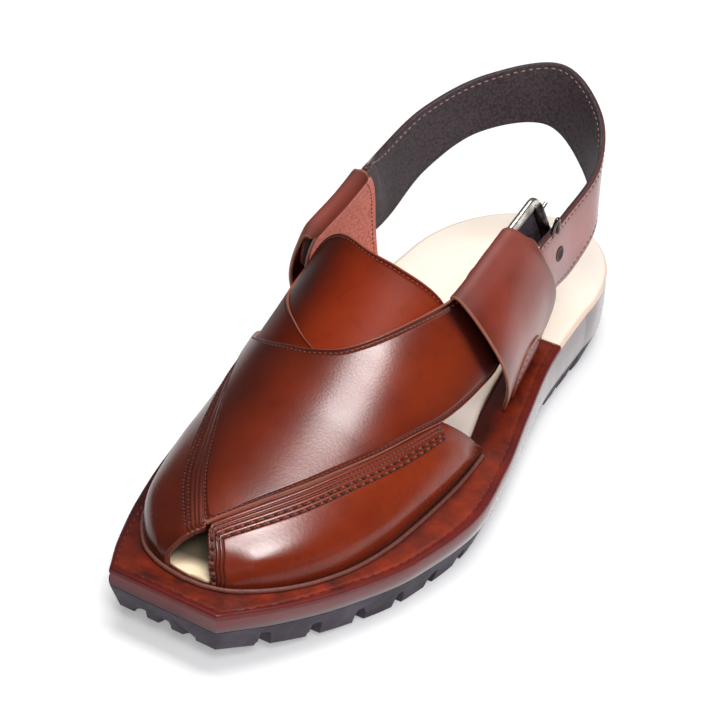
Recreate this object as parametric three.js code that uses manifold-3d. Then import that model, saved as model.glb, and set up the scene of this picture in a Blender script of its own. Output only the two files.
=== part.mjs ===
// Peshawari chappal, left shoe: crossed leather bands on a tyre-tread sole, with a buckled heel strap.
// Millimetres. Toe towards -Y, heel towards +Y, lateral (buckle) side +X, floor at z = 0.
import * as THREE from 'three';
import { mergeVertices } from 'three/addons/utils/BufferGeometryUtils.js';
import Module from 'manifold-3d';

const wasm = await Module();
wasm.setup();

// Driving sizes
const SOLE_LENGTH = 291;
const TOE_SKEW = { shift: 1.4, until: 0.15 };
const HEEL_ROUND_AT = 0.82;
const HEEL_CENTRE_X = -5.8;
const SEAT_Y = 73;
const GAP = 0.3;
const WELT_THICK = 2.0;
const WELT_UNDER = 3.5;
const INSOLE_CROWN = 0.6;
const TREAD_TAPER = 4.5;
const HALF_WIDTH = 45;
const FOOT_HALF = { width: 40, length: 130 };
const FLAT_FOOT_V = 0.93;
const SKETCH = { row: 14, v: 60 };

// Sole outline: distance of the medial and lateral edge from the middle line, at shares of the length.
const SOLE_PLAN = [
  { at: 0.0, medial: 28.4, lateral: 15.5 },
  { at: 0.06, medial: 36.2, lateral: 28.2 },
  { at: 0.15, medial: 45.1, lateral: 42.2 },
  { at: 0.25, medial: 52.2, lateral: 52.1 },
  { at: 0.36, medial: 56.4, lateral: 56.4 },
  { at: 0.47, medial: 54.5, lateral: 51.2 },
  { at: 0.58, medial: 50.4, lateral: 43.0 },
  { at: 0.7, medial: 46.9, lateral: 34.9 },
  { at: 0.82, medial: 45.7, lateral: 30.9 },
];

// Sole heights: ground side, joint of outsole and midsole, and top of the rim.
const SOLE_SIDE = [
  { at: 0.0, floor: 8.0, joint: 17.8, top: 25.5 },
  { at: 0.12, floor: 2.6, joint: 14.4, top: 22.0 },
  { at: 0.25, floor: 0.0, joint: 12.6, top: 20.2 },
  { at: 0.45, floor: 0.0, joint: 12.2, top: 21.0 },
  { at: 0.6, floor: 0.0, joint: 11.6, top: 24.0 },
  { at: 0.75, floor: 0.0, joint: 10.8, top: 27.5 },
  { at: 1.0, floor: 0.0, joint: 10.4, top: 29.5 },
];

// Last sections, toe to ankle: foot of each side, ridge and how far the sides belly out.
const LAST = [
  { row: 0, y: -131.6, medial: -4.8, lateral: 1.2, ridgeX: -2.5, ridgeZ: 27.0, bellyM: 0.0, bellyL: 0.0 },
  { row: 1, y: -129.6, medial: -13.0, lateral: 8.0, ridgeX: -4.0, ridgeZ: 30.0, bellyM: 0.4, bellyL: 0.4 },
  { row: 2, y: -124.5, medial: -22.5, lateral: 15.0, ridgeX: -6.0, ridgeZ: 33.5, bellyM: 0.9, bellyL: 0.9 },
  { row: 3, y: -116.0, medial: -29.7, lateral: 22.4, ridgeX: -7.0, ridgeZ: 36.8, bellyM: 1.3, bellyL: 1.3 },
  { row: 4, y: -104.0, medial: -36.0, lateral: 29.4, ridgeX: -7.0, ridgeZ: 41.0, bellyM: 1.6, bellyL: 1.6 },
  { row: 5, y: -88.0, medial: -40.0, lateral: 34.8, ridgeX: -6.5, ridgeZ: 46.0, bellyM: 1.8, bellyL: 1.8 },
  { row: 6, y: -65.0, medial: -43.6, lateral: 38.2, ridgeX: -5.5, ridgeZ: 54.0, bellyM: 2.0, bellyL: 2.0 },
  { row: 7, y: -35.0, medial: -45.2, lateral: 39.3, ridgeX: -5.5, ridgeZ: 68.5, bellyM: 3.0, bellyL: 2.0 },
  { row: 8, y: -5.0, medial: -42.3, lateral: 37.4, ridgeX: -8.5, ridgeZ: 84.0, bellyM: 6.5, bellyL: 2.5 },
  { row: 9, y: 20.0, medial: -38.5, lateral: 30.6, ridgeX: -10.5, ridgeZ: 106.0, bellyM: 9.0, bellyL: 4.0 },
  { row: 10, y: 45.0, medial: -35.5, lateral: 25.5, ridgeX: -10.0, ridgeZ: 138.0, bellyM: 9.0, bellyL: 6.0 },
  { row: 11, y: 75.0, medial: -33.5, lateral: 20.5, ridgeX: -9.5, ridgeZ: 168.0, bellyM: 8.0, bellyL: 7.0 },
];

// Smooth curve through one column of a table; it never overshoots between two rows.
function column(rows, key, name) {
  const xs = rows.map((row) => row[key]);
  const ys = rows.map((row) => row[name]);
  const last = xs.length - 1;
  const secant = (i) => (ys[i + 1] - ys[i]) / (xs[i + 1] - xs[i]);
  const slopes = xs.map((_, i) => {
    if (i === 0) return secant(0);
    if (i === last) return secant(last - 1);
    const before = secant(i - 1);
    const after = secant(i);
    return before * after <= 0 ? 0 : (2 * before * after) / (before + after);
  });
  return (x) => {
    let i = 0;
    while (i < last - 1 && x > xs[i + 1]) i += 1;
    const width = xs[i + 1] - xs[i];
    const u = THREE.MathUtils.clamp((x - xs[i]) / width, 0, 1);
    const rise = ys[i + 1] - ys[i];
    const bend0 = slopes[i] * width - rise;
    const bend1 = rise - slopes[i + 1] * width;
    return ys[i] + u * rise + u * (1 - u) * ((1 - u) * bend0 + u * bend1);
  };
}

const lerp = THREE.MathUtils.lerp;
const medialPlan = column(SOLE_PLAN, 'at', 'medial');
const lateralPlan = column(SOLE_PLAN, 'at', 'lateral');
const floorSide = column(SOLE_SIDE, 'at', 'floor');
const jointSide = column(SOLE_SIDE, 'at', 'joint');
const topSide = column(SOLE_SIDE, 'at', 'top');
const shareAt = (y) => THREE.MathUtils.clamp(y / SOLE_LENGTH + 0.5, 0, 1);
const rimTop = (y) => topSide(shareAt(y));

// Point on the sole's rim: side -1 is medial, +1 lateral; the heel closes as half an ellipse.
function rim(side, at) {
  const plan = side < 0 ? medialPlan : lateralPlan;
  const straight = side * plan(Math.min(at, HEEL_ROUND_AT));
  const back = Math.max(0, (at - HEEL_ROUND_AT) / (1 - HEEL_ROUND_AT));
  const x = lerp(HEEL_CENTRE_X, straight, Math.sqrt(Math.max(0, 1 - back * back)));
  const skew = -side * TOE_SKEW.shift * Math.max(0, 1 - at / TOE_SKEW.until);
  return new THREE.Vector2(x, (at - 0.5) * SOLE_LENGTH + skew);
}

const lastColumn = Object.fromEntries(
  ['y', 'medial', 'lateral', 'ridgeX', 'ridgeZ', 'bellyM', 'bellyL'].map((name) => [name, column(LAST, 'row', name)]),
);

// Row of the last at a given y, found by halving.
function rowAt(y) {
  let low = 0;
  let high = LAST.length - 1;
  for (let step = 0; step < 40; step += 1) {
    const middle = (low + high) / 2;
    if (lastColumn.y(middle) < y) low = middle;
    else high = middle;
  }
  return (low + high) / 2;
}

// Bare last: v runs from -1 at the medial foot over 0 on the ridge to +1 at the lateral foot.
function lastBare(row, v) {
  const turn = Math.abs(v) * Math.PI / 2;
  const ridge = lastColumn.ridgeX(row);
  const foot = v < 0 ? lastColumn.medial(row) : lastColumn.lateral(row);
  const y = lastColumn.y(row);
  const base = rimTop(y) + GAP;
  const rise = Math.cos(turn);
  const belly = (v < 0 ? -lastColumn.bellyM(row) : lastColumn.bellyL(row)) * 4 * rise * (1 - rise);
  const x = ridge + (foot - ridge) * Math.sin(turn) + belly;
  return new THREE.Vector3(x, y, base + (lastColumn.ridgeZ(row) - base) * rise);
}

// Point above the last, measured along its outward normal.
function lastPoint(row, v, offset) {
  const step = 0.01;
  const along = lastBare(row + step, v).sub(lastBare(row - step, v));
  const round = lastBare(row, v + step).sub(lastBare(row, v - step));
  const normal = along.cross(round).normalize().negate();
  const point = lastBare(row, v);
  const base = point.z;
  point.addScaledVector(normal, offset);
  if (Math.abs(v) > FLAT_FOOT_V) point.z = Math.max(point.z, base);
  return point;
}

// Closed mesh from points and triangles, turned so that its faces point outwards.
function toSolid(points, triangles) {
  const volume = triangles.reduce((sum, [a, b, c]) => {
    const cross = new THREE.Vector3().crossVectors(points[b], points[c]);
    return sum + points[a].dot(cross);
  }, 0);
  const order = volume < 0 ? triangles.map(([a, b, c]) => [a, c, b]) : triangles;
  const geometry = new THREE.BufferGeometry().setFromPoints(points);
  geometry.setIndex(order.flat());
  return solidOf(geometry);
}

// Manifold solid of a closed three.js geometry.
function solidOf(geometry) {
  const bare = geometry.clone();
  bare.deleteAttribute('normal');
  bare.deleteAttribute('uv');
  const merged = mergeVertices(bare, 1e-4);
  const vertProperties = new Float32Array(merged.attributes.position.array);
  const triVerts = new Uint32Array(merged.index.array);
  return new wasm.Manifold(new wasm.Mesh({ numProp: 3, vertProperties, triVerts }));
}

// Thick sheet over a unit square: point(a, b, side) with side 0 inside and 1 outside.
function sheet(point, stepsA, stepsB) {
  const points = [];
  const index = (side, i, j) => (side * (stepsA + 1) + i) * (stepsB + 1) + j;
  for (const side of [0, 1]) {
    for (let i = 0; i <= stepsA; i += 1) {
      for (let j = 0; j <= stepsB; j += 1) points.push(point(i / stepsA, j / stepsB, side));
    }
  }
  const triangles = [];
  const quad = (a, b, c, d) => triangles.push([a, b, c], [a, c, d]);
  for (let i = 0; i < stepsA; i += 1) {
    for (let j = 0; j < stepsB; j += 1) {
      quad(index(1, i, j), index(1, i + 1, j), index(1, i + 1, j + 1), index(1, i, j + 1));
      quad(index(0, i, j), index(0, i, j + 1), index(0, i + 1, j + 1), index(0, i + 1, j));
    }
  }
  for (let i = 0; i < stepsA; i += 1) {
    quad(index(0, i, 0), index(0, i + 1, 0), index(1, i + 1, 0), index(1, i, 0));
    quad(index(0, i + 1, stepsB), index(0, i, stepsB), index(1, i, stepsB), index(1, i + 1, stepsB));
  }
  for (let j = 0; j < stepsB; j += 1) {
    quad(index(0, 0, j + 1), index(0, 0, j), index(1, 0, j), index(1, 0, j + 1));
    quad(index(0, stepsA, j), index(0, stepsA, j + 1), index(1, stepsA, j + 1), index(1, stepsA, j));
  }
  return toSolid(points, triangles);
}

// Solid swept through rings of points; flat is the ring's own 2-D outline, used for both end caps.
function sweep(ring, steps, flat) {
  const count = flat.length;
  const points = [];
  for (let i = 0; i <= steps; i += 1) points.push(...ring(i / steps));
  const triangles = [];
  for (let i = 0; i < steps; i += 1) {
    for (let j = 0; j < count; j += 1) {
      const next = (j + 1) % count;
      const a = i * count + j;
      const b = i * count + next;
      triangles.push([a, b, b + count], [a, b + count, a + count]);
    }
  }
  const caps = THREE.ShapeUtils.triangulateShape(flat, []);
  const forward = THREE.ShapeUtils.area(flat) > 0;
  for (const [a, b, c] of caps) {
    const end = steps * count;
    triangles.push(forward ? [a, c, b] : [a, b, c]);
    triangles.push(forward ? [a + end, b + end, c + end] : [a + end, c + end, b + end]);
  }
  return toSolid(points, triangles);
}

// Smooth edge of a panel through marks of y and v on the last, walked at an even pace.
function edge(marks) {
  const curve = new THREE.SplineCurve(marks.map(([y, v]) => new THREE.Vector2(rowAt(y) * SKETCH.row, v * SKETCH.v)));
  return (share) => curve.getPointAt(share);
}

// Panel of leather between four edges on the last; front and rear run from medial to lateral.
function panel({ front, rear, medial, lateral, inner, outer, steps }) {
  const [frontEdge, rearEdge, medialEdge, lateralEdge] = [front, rear, medial, lateral].map(edge);
  const corners = [frontEdge(0), frontEdge(1), rearEdge(0), rearEdge(1)];
  return sheet((a, b, side) => {
    const mark = frontEdge(b).multiplyScalar(1 - a).addScaledVector(rearEdge(b), a);
    mark.addScaledVector(medialEdge(a), 1 - b).addScaledVector(lateralEdge(a), b);
    mark.addScaledVector(corners[0], -(1 - a) * (1 - b)).addScaledVector(corners[1], -(1 - a) * b);
    mark.addScaledVector(corners[2], -a * (1 - b)).addScaledVector(corners[3], -a * b);
    return lastPoint(mark.x / SKETCH.row, mark.y / SKETCH.v, side ? outer : inner);
  }, steps[0], steps[1]);
}

const mirrored = (marks) => marks.map(([y, v]) => [y, -v]);

// Edges that the panels share, as marks of [y, v] on the last.
const VAMP_SIDE = [[-118.4, 0.02], [-106, 0.18], [-90, 0.31], [-73.5, 0.41], [-47, 0.56], [-31, 0.64]];
const TOE_TOP = [[-112, 0.06], [-92, 0.19], [-70, 0.33], [-47, 0.46], [-38, 0.54]];
const TOE_REAR = [[-38, 0.54], [-29, 0.69], [-16, 0.87], [-8, 0.96], [-7, 1]];
const TOE_FOOT = [[-126, 1], [-116, 1], [-88, 1], [-50, 1], [-7, 1]];
const PEEP = {
  lateral: [[-112, 0.06], [-119.8, 0.05], [-126.4, 0.174], [-130.1, 0.383], [-131, 0.82], [-131.2, 1]],
  medial: [[-112, -0.06], [-123, 0.06], [-127.8, -0.154], [-130, -0.764], [-130.3, -1]],
};

const vamp = panel({
  front: [[-118.4, -0.02], [-118.4, 0.02]],
  rear: [
    [-16, -0.72], [-28.7, -0.6], [-38, -0.42], [-42.3, -0.22], [-42.5, -0.08], [-38, 0.07],
    [-22.4, 0.23], [-0.6, 0.383], [14, 0.44], [22, 0.6],
  ],
  medial: [...mirrored(VAMP_SIDE), [-16, -0.72]],
  lateral: [...VAMP_SIDE, [-9, 0.7], [14, 0.74], [22, 0.6]],
  inner: 1.5, outer: 3.3, steps: [21, 14],
});
const medialBand = panel({
  front: [[-52, -0.5], [-50, 0.15]],
  rear: [[22, -0.66], [22, -0.58]],
  medial: [[-52, -0.5], [-31, -0.64], [-9, -0.7], [12, -0.74], [22, -0.66]],
  lateral: [[-50, 0.15], [-40, -0.146], [-30, -0.32], [-19.5, -0.45], [-5, -0.53], [12, -0.56], [22, -0.58]],
  inner: 0.4, outer: 1.8, steps: [16, 6],
});
const tongue = panel({
  front: [[-60, -0.3], [-60, 0.3]],
  rear: [[-4, -0.56], [5, -0.46], [6, -0.34], [-1.8, -0.11], [-4, 0.11], [-3, 0.34], [-5, 0.42]],
  medial: [[-60, -0.3], [-30, -0.48], [-4, -0.56]],
  lateral: [[-60, 0.3], [-30, 0.45], [-5, 0.42]],
  inner: -0.4, outer: 1.0, steps: [9, 12],
});
const lateralToe = panel({
  front: PEEP.lateral,
  rear: TOE_REAR,
  medial: TOE_TOP,
  lateral: [PEEP.lateral.at(-1), ...TOE_FOOT],
  inner: 0.2, outer: 2.2, steps: [19, 6],
});
const medialToe = panel({
  front: PEEP.medial.slice().reverse(),
  rear: mirrored(TOE_REAR).reverse(),
  medial: [PEEP.medial.at(-1), ...mirrored(TOE_FOOT)],
  lateral: mirrored(TOE_TOP),
  inner: 0.2, outer: 2.2, steps: [19, 6],
});

// Side wings: bands rising from the welt and folded at the top into a loop for the strap.
const WING = { leather: 1.5, slot: 3.8, rise: 0.06, slotLow: 0.56, slotHigh: 0.99, footFrontY: 19, rearY: 36 };
const WING_SIDES = {
  lateral: { hand: 1, inner: 2.6, frontY: -3, topFront: 0.4, topRear: 0.5, topCorner: 0.09, footReach: 30 },
  medial: { hand: -1, inner: 1.1, frontY: 4.6, topFront: 0.4, topRear: 0.5, topCorner: 0.05, footReach: 25 },
};
const wingFront = (side, q) => side.frontY + (WING.footFrontY - side.frontY) * (1 - q) ** 3;
const wingRear = (side, q) => WING.rearY + side.footReach * Math.max(0, 1 - q) ** 1.2;

// Point of a wing: p from front to rear, q from the welt up to the fold, offset above its inner face.
function wingPoint(side, p, q, offset) {
  const y = lerp(wingFront(side, q), wingRear(side, q), p);
  const top = lerp(side.topFront, side.topRear, p) + side.topCorner * Math.max(0, p) ** 4;
  return lastPoint(rowAt(y), side.hand * lerp(1, top, q), side.inner + offset);
}

// Heel strap: through the medial loop, round the heel and into the lateral loop.
const STRAP = { thick: 2.4, room: 0.3, edgeRoom: 0.015, steps: [44, 3], lowQ: 0.61, highQ: 0.94, inLoop: [0.15, 0.4, 0.65, 0.85, 1.0, 1.08] };
const STRAP_BACK = [
  { lowX: -46, lowY: 62, lowZ: 62, highX: -48, highY: 60, highZ: 86 },
  { lowX: -43, lowY: 90, lowZ: 68, highX: -45, highY: 93, highZ: 92 },
  { lowX: -31, lowY: 112, lowZ: 76, highX: -32, highY: 118, highZ: 99 },
  { lowX: -8.5, lowY: 124, lowZ: 81, highX: -8.5, highY: 132, highZ: 104 },
  { lowX: 14, lowY: 112, lowZ: 75, highX: 15, highY: 118, highZ: 98 },
  { lowX: 29, lowY: 90, lowZ: 66, highX: 28, highY: 93, highZ: 90 },
  { lowX: 34, lowY: 66, lowZ: 60, highX: 30, highY: 64, highZ: 84 },
];

function strapRails() {
  const middle = WING.leather + WING.slot / 2;
  const qs = [STRAP.lowQ, (STRAP.lowQ + STRAP.highQ) / 2, STRAP.highQ];
  const inLoop = (side, p) => qs.map((q) => wingPoint(side, p, q, middle));
  const stations = [
    ...STRAP.inLoop.map((p) => inLoop(WING_SIDES.medial, p)),
    ...STRAP_BACK.map((row) => {
      const low = new THREE.Vector3(row.lowX, row.lowY, row.lowZ);
      const high = new THREE.Vector3(row.highX, row.highY, row.highZ);
      return [low, low.clone().lerp(high, 0.5), high];
    }),
    ...STRAP.inLoop.slice(1).reverse().map((p) => inLoop(WING_SIDES.lateral, p)),
  ];
  return [0, 1, 2].map((rail) => new THREE.CatmullRomCurve3(stations.map((station) => station[rail])));
}

const strapCurves = strapRails();

// Point of the strap: a along it, b from the lower to the upper edge, lift from its middle outwards.
function strapPoint(a, b, lift) {
  const at = (share) => {
    const [low, mid, high] = strapCurves.map((curve) => curve.getPoint(THREE.MathUtils.clamp(share, 0, 1)));
    const point = low.multiplyScalar((1 - b) * (1 - 2 * b)).addScaledVector(mid, 4 * b * (1 - b));
    return point.addScaledVector(high, b * (2 * b - 1));
  };
  const [low, , high] = strapCurves.map((curve) => curve.getPoint(a));
  const along = at(a + 0.005).sub(at(a - 0.005));
  const normal = along.cross(high.sub(low)).normalize();
  return at(a).addScaledVector(normal, lift);
}

// Band along the strap's path, its faces and edges moved out by the room left round it.
function strapSolid(room, edgeRoom) {
  return sheet((a, b, side) => {
    const lift = (side - 0.5) * (STRAP.thick + 2 * room);
    return strapPoint(a, lerp(-edgeRoom, 1 + edgeRoom, b), lift);
  }, STRAP.steps[0], STRAP.steps[1]);
}

const strapRoom = strapSolid(STRAP.room, STRAP.edgeRoom);

const WING_FULL = 2 * WING.leather + WING.slot;
const wingThick = (q) => lerp(WING.leather, WING_FULL, THREE.MathUtils.smoothstep(q, 0.25, 0.6));

function wingSolid(side) {
  const outline = [];
  const stepsUp = 12;
  for (let i = 0; i <= stepsUp; i += 1) outline.push(new THREE.Vector2(i / stepsUp, wingThick(i / stepsUp)));
  for (const turn of [0.25, 0.5, 0.75]) {
    const angle = turn * Math.PI;
    outline.push(new THREE.Vector2(1 + WING.rise * Math.sin(angle), WING_FULL * (0.5 + 0.5 * Math.cos(angle))));
  }
  for (let i = stepsUp; i >= 0; i -= 1) outline.push(new THREE.Vector2(i / stepsUp, 0));
  const body = sweep((p) => outline.map((mark) => wingPoint(side, p, mark.x, mark.y)), 9, outline);
  const slot = [];
  const [low, high] = [WING.slotLow, WING.slotHigh];
  const stepsSlot = 6;
  const slotTop = WING.leather + WING.slot;
  for (let i = 0; i <= stepsSlot; i += 1) slot.push(new THREE.Vector2(lerp(low, high, i / stepsSlot), slotTop));
  for (let i = stepsSlot; i >= 0; i -= 1) slot.push(new THREE.Vector2(lerp(low, high, i / stepsSlot), WING.leather));
  const hole = sweep((p) => slot.map((mark) => wingPoint(side, lerp(-0.1, 1.1, p), mark.x, mark.y)), 11, slot);
  return body.subtract(hole).subtract(strapRoom).add(halfMoon(side));
}

// Half-moon patch stitched over the foot of a wing, a step in its wall.
const PATCH = { wide: 0.62, high: 0.3, foot: 0.02, sunk: 0.6, proud: 0.8 };

function halfMoon(side) {
  return sheet((a, b, face) => {
    const bow = Math.sqrt(1 - 0.97 * (2 * a - 1) ** 2);
    const q = PATCH.foot + PATCH.high * b * bow;
    const offset = wingThick(q) + (face ? PATCH.proud : -PATCH.sunk);
    return wingPoint(side, 0.5 + (a - 0.5) * PATCH.wide, q, offset);
  }, 10, 3);
}

const wings = Object.values(WING_SIDES).map(wingSolid);
const upper = [lateralToe, medialToe, medialBand, vamp, ...wings].reduce((whole, piece) => whole.add(piece), tongue);

// Sole plates: point(at, across) on the outline, drawn in towards the middle by inset.
const HEEL_END_AT = 0.998;
const alongSole = (a) => HEEL_END_AT * (1 - (1 - a) ** 1.5);

function solePoint(at, across, inset) {
  const medial = rim(-1, at);
  const lateral = rim(1, at);
  const middle = (medial.x + lateral.x) / 2;
  const point = medial.lerp(lateral, across);
  point.x = middle + (point.x - middle) * (1 - inset / HALF_WIDTH);
  point.y *= 1 - inset / (SOLE_LENGTH / 2);
  return point;
}

function plate(insets, heights, steps) {
  return sheet((a, b, side) => {
    const at = alongSole(a);
    const { x, y } = solePoint(at, b, insets[side]);
    return new THREE.Vector3(x, y, heights[side](at));
  }, steps[0], steps[1]);
}

// Tread: three long grooves under ball and heel, slots round the shoulders, a smooth waist between.
const TREAD = { grooveWide: 4.5, grooveDeep: 5, slotWide: 3.6, slotDeep: 9, slotHigh: 7, waistDeep: 3.5 };
const TREAD_FIELDS = [
  { from: -0.03, to: 0.48, slots: [0.05, 0.11, 0.17, 0.23, 0.29, 0.35, 0.41] },
  { from: 0.73, to: 1.03, slots: [0.77, 0.82, 0.87, 0.92] },
];
const GROOVE_SHARES = [0.27, 0.5, 0.73];
const GROOVE_SWING = 0.05;

function groove({ from, to }, share) {
  return sheet((a, b, side) => {
    const at = lerp(from, to, a);
    const held = THREE.MathUtils.clamp(at, 0, HEEL_ROUND_AT);
    const { x } = solePoint(held, share + GROOVE_SWING * (a - 0.5), 0);
    const ground = floorSide(THREE.MathUtils.clamp(at, 0, 1));
    const z = side ? ground + TREAD.grooveDeep : ground - TREAD.slotHigh;
    return new THREE.Vector3(x + (b - 0.5) * TREAD.grooveWide, (at - 0.5) * SOLE_LENGTH, z);
  }, 9, 1);
}

function shoulderSlot(side, at) {
  const ahead = rim(side, at + 0.01);
  const behind = rim(side, at - 0.01);
  const box = new THREE.BoxGeometry(2 * TREAD.slotDeep, TREAD.slotWide, 2 * TREAD.slotHigh);
  box.rotateZ(ahead.sub(behind).angle() - Math.PI / 2);
  const spot = rim(side, at);
  box.translate(spot.x, spot.y, floorSide(at));
  return solidOf(box);
}

function outsoleSolid() {
  let sole = plate([TREAD_TAPER, 0.5], [floorSide, jointSide], [36, 4]);
  for (const field of TREAD_FIELDS) {
    for (const share of GROOVE_SHARES) sole = sole.subtract(groove(field, share));
    for (const at of field.slots) {
      sole = sole.subtract(shoulderSlot(-1, at)).subtract(shoulderSlot(1, at));
    }
  }
  const waistFrom = (TREAD_FIELDS[0].to - 0.5) * SOLE_LENGTH;
  const waistTo = (TREAD_FIELDS[1].from - 0.5) * SOLE_LENGTH;
  const waist = new THREE.BoxGeometry(160, waistTo - waistFrom, 2 * TREAD.waistDeep);
  waist.translate(0, (waistFrom + waistTo) / 2, 0);
  return sole.subtract(solidOf(waist));
}

const outsole = outsoleSolid();
const midsole = plate(
  [0.3, 0],
  [(at) => jointSide(at) + GAP, (at) => topSide(at) - WELT_THICK - GAP],
  [40, 2],
);

// Inner line of the welt, under the upper's foot: a smaller copy of the last's foot line.
const MIDDLE_X = -7;
function footLine(side, row, inset) {
  const foot = side < 0 ? lastColumn.medial(row) : lastColumn.lateral(row);
  const x = MIDDLE_X + (foot - MIDDLE_X) * (1 - inset / FOOT_HALF.width);
  const y = lastColumn.y(row);
  return new THREE.Vector2(x, y < 0 ? y * (1 - inset / FOOT_HALF.length) : y);
}

// Welt: a strip from the lateral heel seat round the toe to the medial heel seat.
const TOE_ROW = 2.6;
const WELT_STEPS = { side: 22, toe: 8, across: 2 };

function weltPoints(a) {
  const count = 2 * WELT_STEPS.side + WELT_STEPS.toe;
  const step = a * count - count / 2;
  const side = step < 0 ? 1 : -1;
  const reach = Math.abs(step);
  const half = WELT_STEPS.toe / 2;
  const seatRow = rowAt(SEAT_Y);
  if (reach < half) {
    const corner = rim(side, 0);
    const front = rim(1, 0).lerp(rim(-1, 0), 0.5).lerp(corner, reach / half);
    return [front, footLine(side, TOE_ROW * reach / half, WELT_UNDER)];
  }
  const back = (reach - half) / WELT_STEPS.side;
  return [rim(side, back * shareAt(SEAT_Y)), footLine(side, lerp(TOE_ROW, seatRow, back), WELT_UNDER)];
}

const welt = sheet((a, b, side) => {
  const [outer, inner] = weltPoints(a);
  const { x, y } = outer.lerp(inner, b);
  return new THREE.Vector3(x, y, rimTop(y) - (side ? 0 : WELT_THICK));
}, 2 * WELT_STEPS.side + WELT_STEPS.toe, WELT_STEPS.across);

// Insole: inside the welt as far as the heel seat, then out to the rim.
const INSOLE_INSET = WELT_UNDER + 5 * GAP;
const INSOLE_TIP_ROW = 0.4;
const INSOLE_STEPS = { inWelt: 21, heel: 8, across: 4 };
const insoleSteps = INSOLE_STEPS.inWelt + 1 + INSOLE_STEPS.heel;

function insoleEdge(side, a) {
  const step = Math.round(a * insoleSteps);
  const heelStart = shareAt(SEAT_Y + 2 * GAP);
  if (step > INSOLE_STEPS.inWelt) {
    const turn = (step - INSOLE_STEPS.inWelt - 1) / INSOLE_STEPS.heel * Math.PI / 2;
    return solePoint(lerp(heelStart, HEEL_END_AT, Math.sin(turn)), side < 0 ? 0 : 1, GAP);
  }
  const row = lerp(INSOLE_TIP_ROW, rowAt(SEAT_Y + GAP), step / INSOLE_STEPS.inWelt);
  return footLine(side, row, INSOLE_INSET);
}

const insole = sheet((a, b, side) => {
  const { x, y } = insoleEdge(-1, a).lerp(insoleEdge(1, a), b);
  const crown = INSOLE_CROWN * 4 * b * (1 - b);
  return new THREE.Vector3(x, y, rimTop(y) + (side ? crown : -WELT_THICK));
}, insoleSteps, INSOLE_STEPS.across);

// Hole through a sheet of leather, along the line between two points.
function bore(from, to, radius) {
  const middle = from.clone().lerp(to, 0.5);
  const shaft = new THREE.CylinderGeometry(radius, radius, 8, 12);
  const turn = new THREE.Quaternion().setFromUnitVectors(
    new THREE.Vector3(0, 1, 0),
    to.clone().sub(from).normalize(),
  );
  shaft.applyQuaternion(turn).translate(middle.x, middle.y, middle.z);
  return solidOf(shaft);
}

const STRAP_HOLE = { at: 0.745, across: 0.45, radius: 1.8 };
const heelStrap = strapSolid(0, 0).subtract(bore(
  strapPoint(STRAP_HOLE.at, STRAP_HOLE.across, -1),
  strapPoint(STRAP_HOLE.at, STRAP_HOLE.across, 1),
  STRAP_HOLE.radius,
));

// Buckle inside the lateral wing and the strap, standing up behind the wing's rear corner.
const BUCKLE = { long: 24, high: 30, bar: 3.2, thick: 2.2, corner: 4, prong: 1.1, prongUp: 3, tip: 6 };
const BUCKLE_SEAT = { x: 24.0, y: 42, z: 79.5, rise: 24, lean: -7, yaw: -8 };

// Carries a piece drawn lengthwise along X and upright along Y to its seat on the shoe.
function seated(geometry) {
  const { x, y, z, rise, lean, yaw } = BUCKLE_SEAT;
  const turn = new THREE.Euler(...[rise, lean, yaw].map(THREE.MathUtils.degToRad), 'ZYX');
  const upright = new THREE.Matrix4().makeBasis(
    new THREE.Vector3(0, 1, 0),
    new THREE.Vector3(0, 0, 1),
    new THREE.Vector3(1, 0, 0),
  );
  const place = new THREE.Matrix4().makeRotationFromEuler(turn).setPosition(x, y, z);
  return solidOf(geometry.applyMatrix4(place.multiply(upright)));
}

function roundedBox(long, high, corner, Kind) {
  const path = new Kind();
  const [x, y] = [long / 2, high / 2];
  path.absarc(x - corner, y - corner, corner, 0, Math.PI / 2);
  path.absarc(corner - x, y - corner, corner, Math.PI / 2, Math.PI);
  path.absarc(corner - x, corner - y, corner, Math.PI, 1.5 * Math.PI);
  path.absarc(x - corner, corner - y, corner, 1.5 * Math.PI, 2 * Math.PI);
  path.closePath();
  return path;
}

const frameShape = roundedBox(BUCKLE.long, BUCKLE.high, BUCKLE.corner, THREE.Shape);
frameShape.holes.push(
  roundedBox(BUCKLE.long - 2 * BUCKLE.bar, BUCKLE.high - 2 * BUCKLE.bar, BUCKLE.corner / 4, THREE.Path),
);
const frameGeometry = new THREE.ExtrudeGeometry(frameShape, {
  depth: BUCKLE.thick, bevelEnabled: false, curveSegments: 3,
});
frameGeometry.translate(0, 0, -BUCKLE.thick / 2);
const buckleFrame = seated(frameGeometry);

const prongGeometry = new THREE.CylinderGeometry(BUCKLE.prong, BUCKLE.prong, BUCKLE.long + BUCKLE.tip, 10);
prongGeometry.rotateZ(Math.PI / 2);
prongGeometry.translate(BUCKLE.tip / 2, BUCKLE.prongUp, -BUCKLE.thick / 2 - GAP - BUCKLE.prong);
const buckleProng = seated(prongGeometry);

// One named mesh of a finished solid.
function mesh(name, solid, color, roughness, metalness = 0) {
  const { vertProperties, triVerts } = solid.getMesh();
  const geometry = new THREE.BufferGeometry();
  geometry.setAttribute('position', new THREE.BufferAttribute(new Float32Array(vertProperties), 3));
  geometry.setIndex(new THREE.BufferAttribute(new Uint32Array(triVerts), 1));
  geometry.computeVertexNormals();
  const piece = new THREE.Mesh(geometry, new THREE.MeshStandardMaterial({ color, roughness, metalness }));
  piece.name = name;
  return piece;
}

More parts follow.
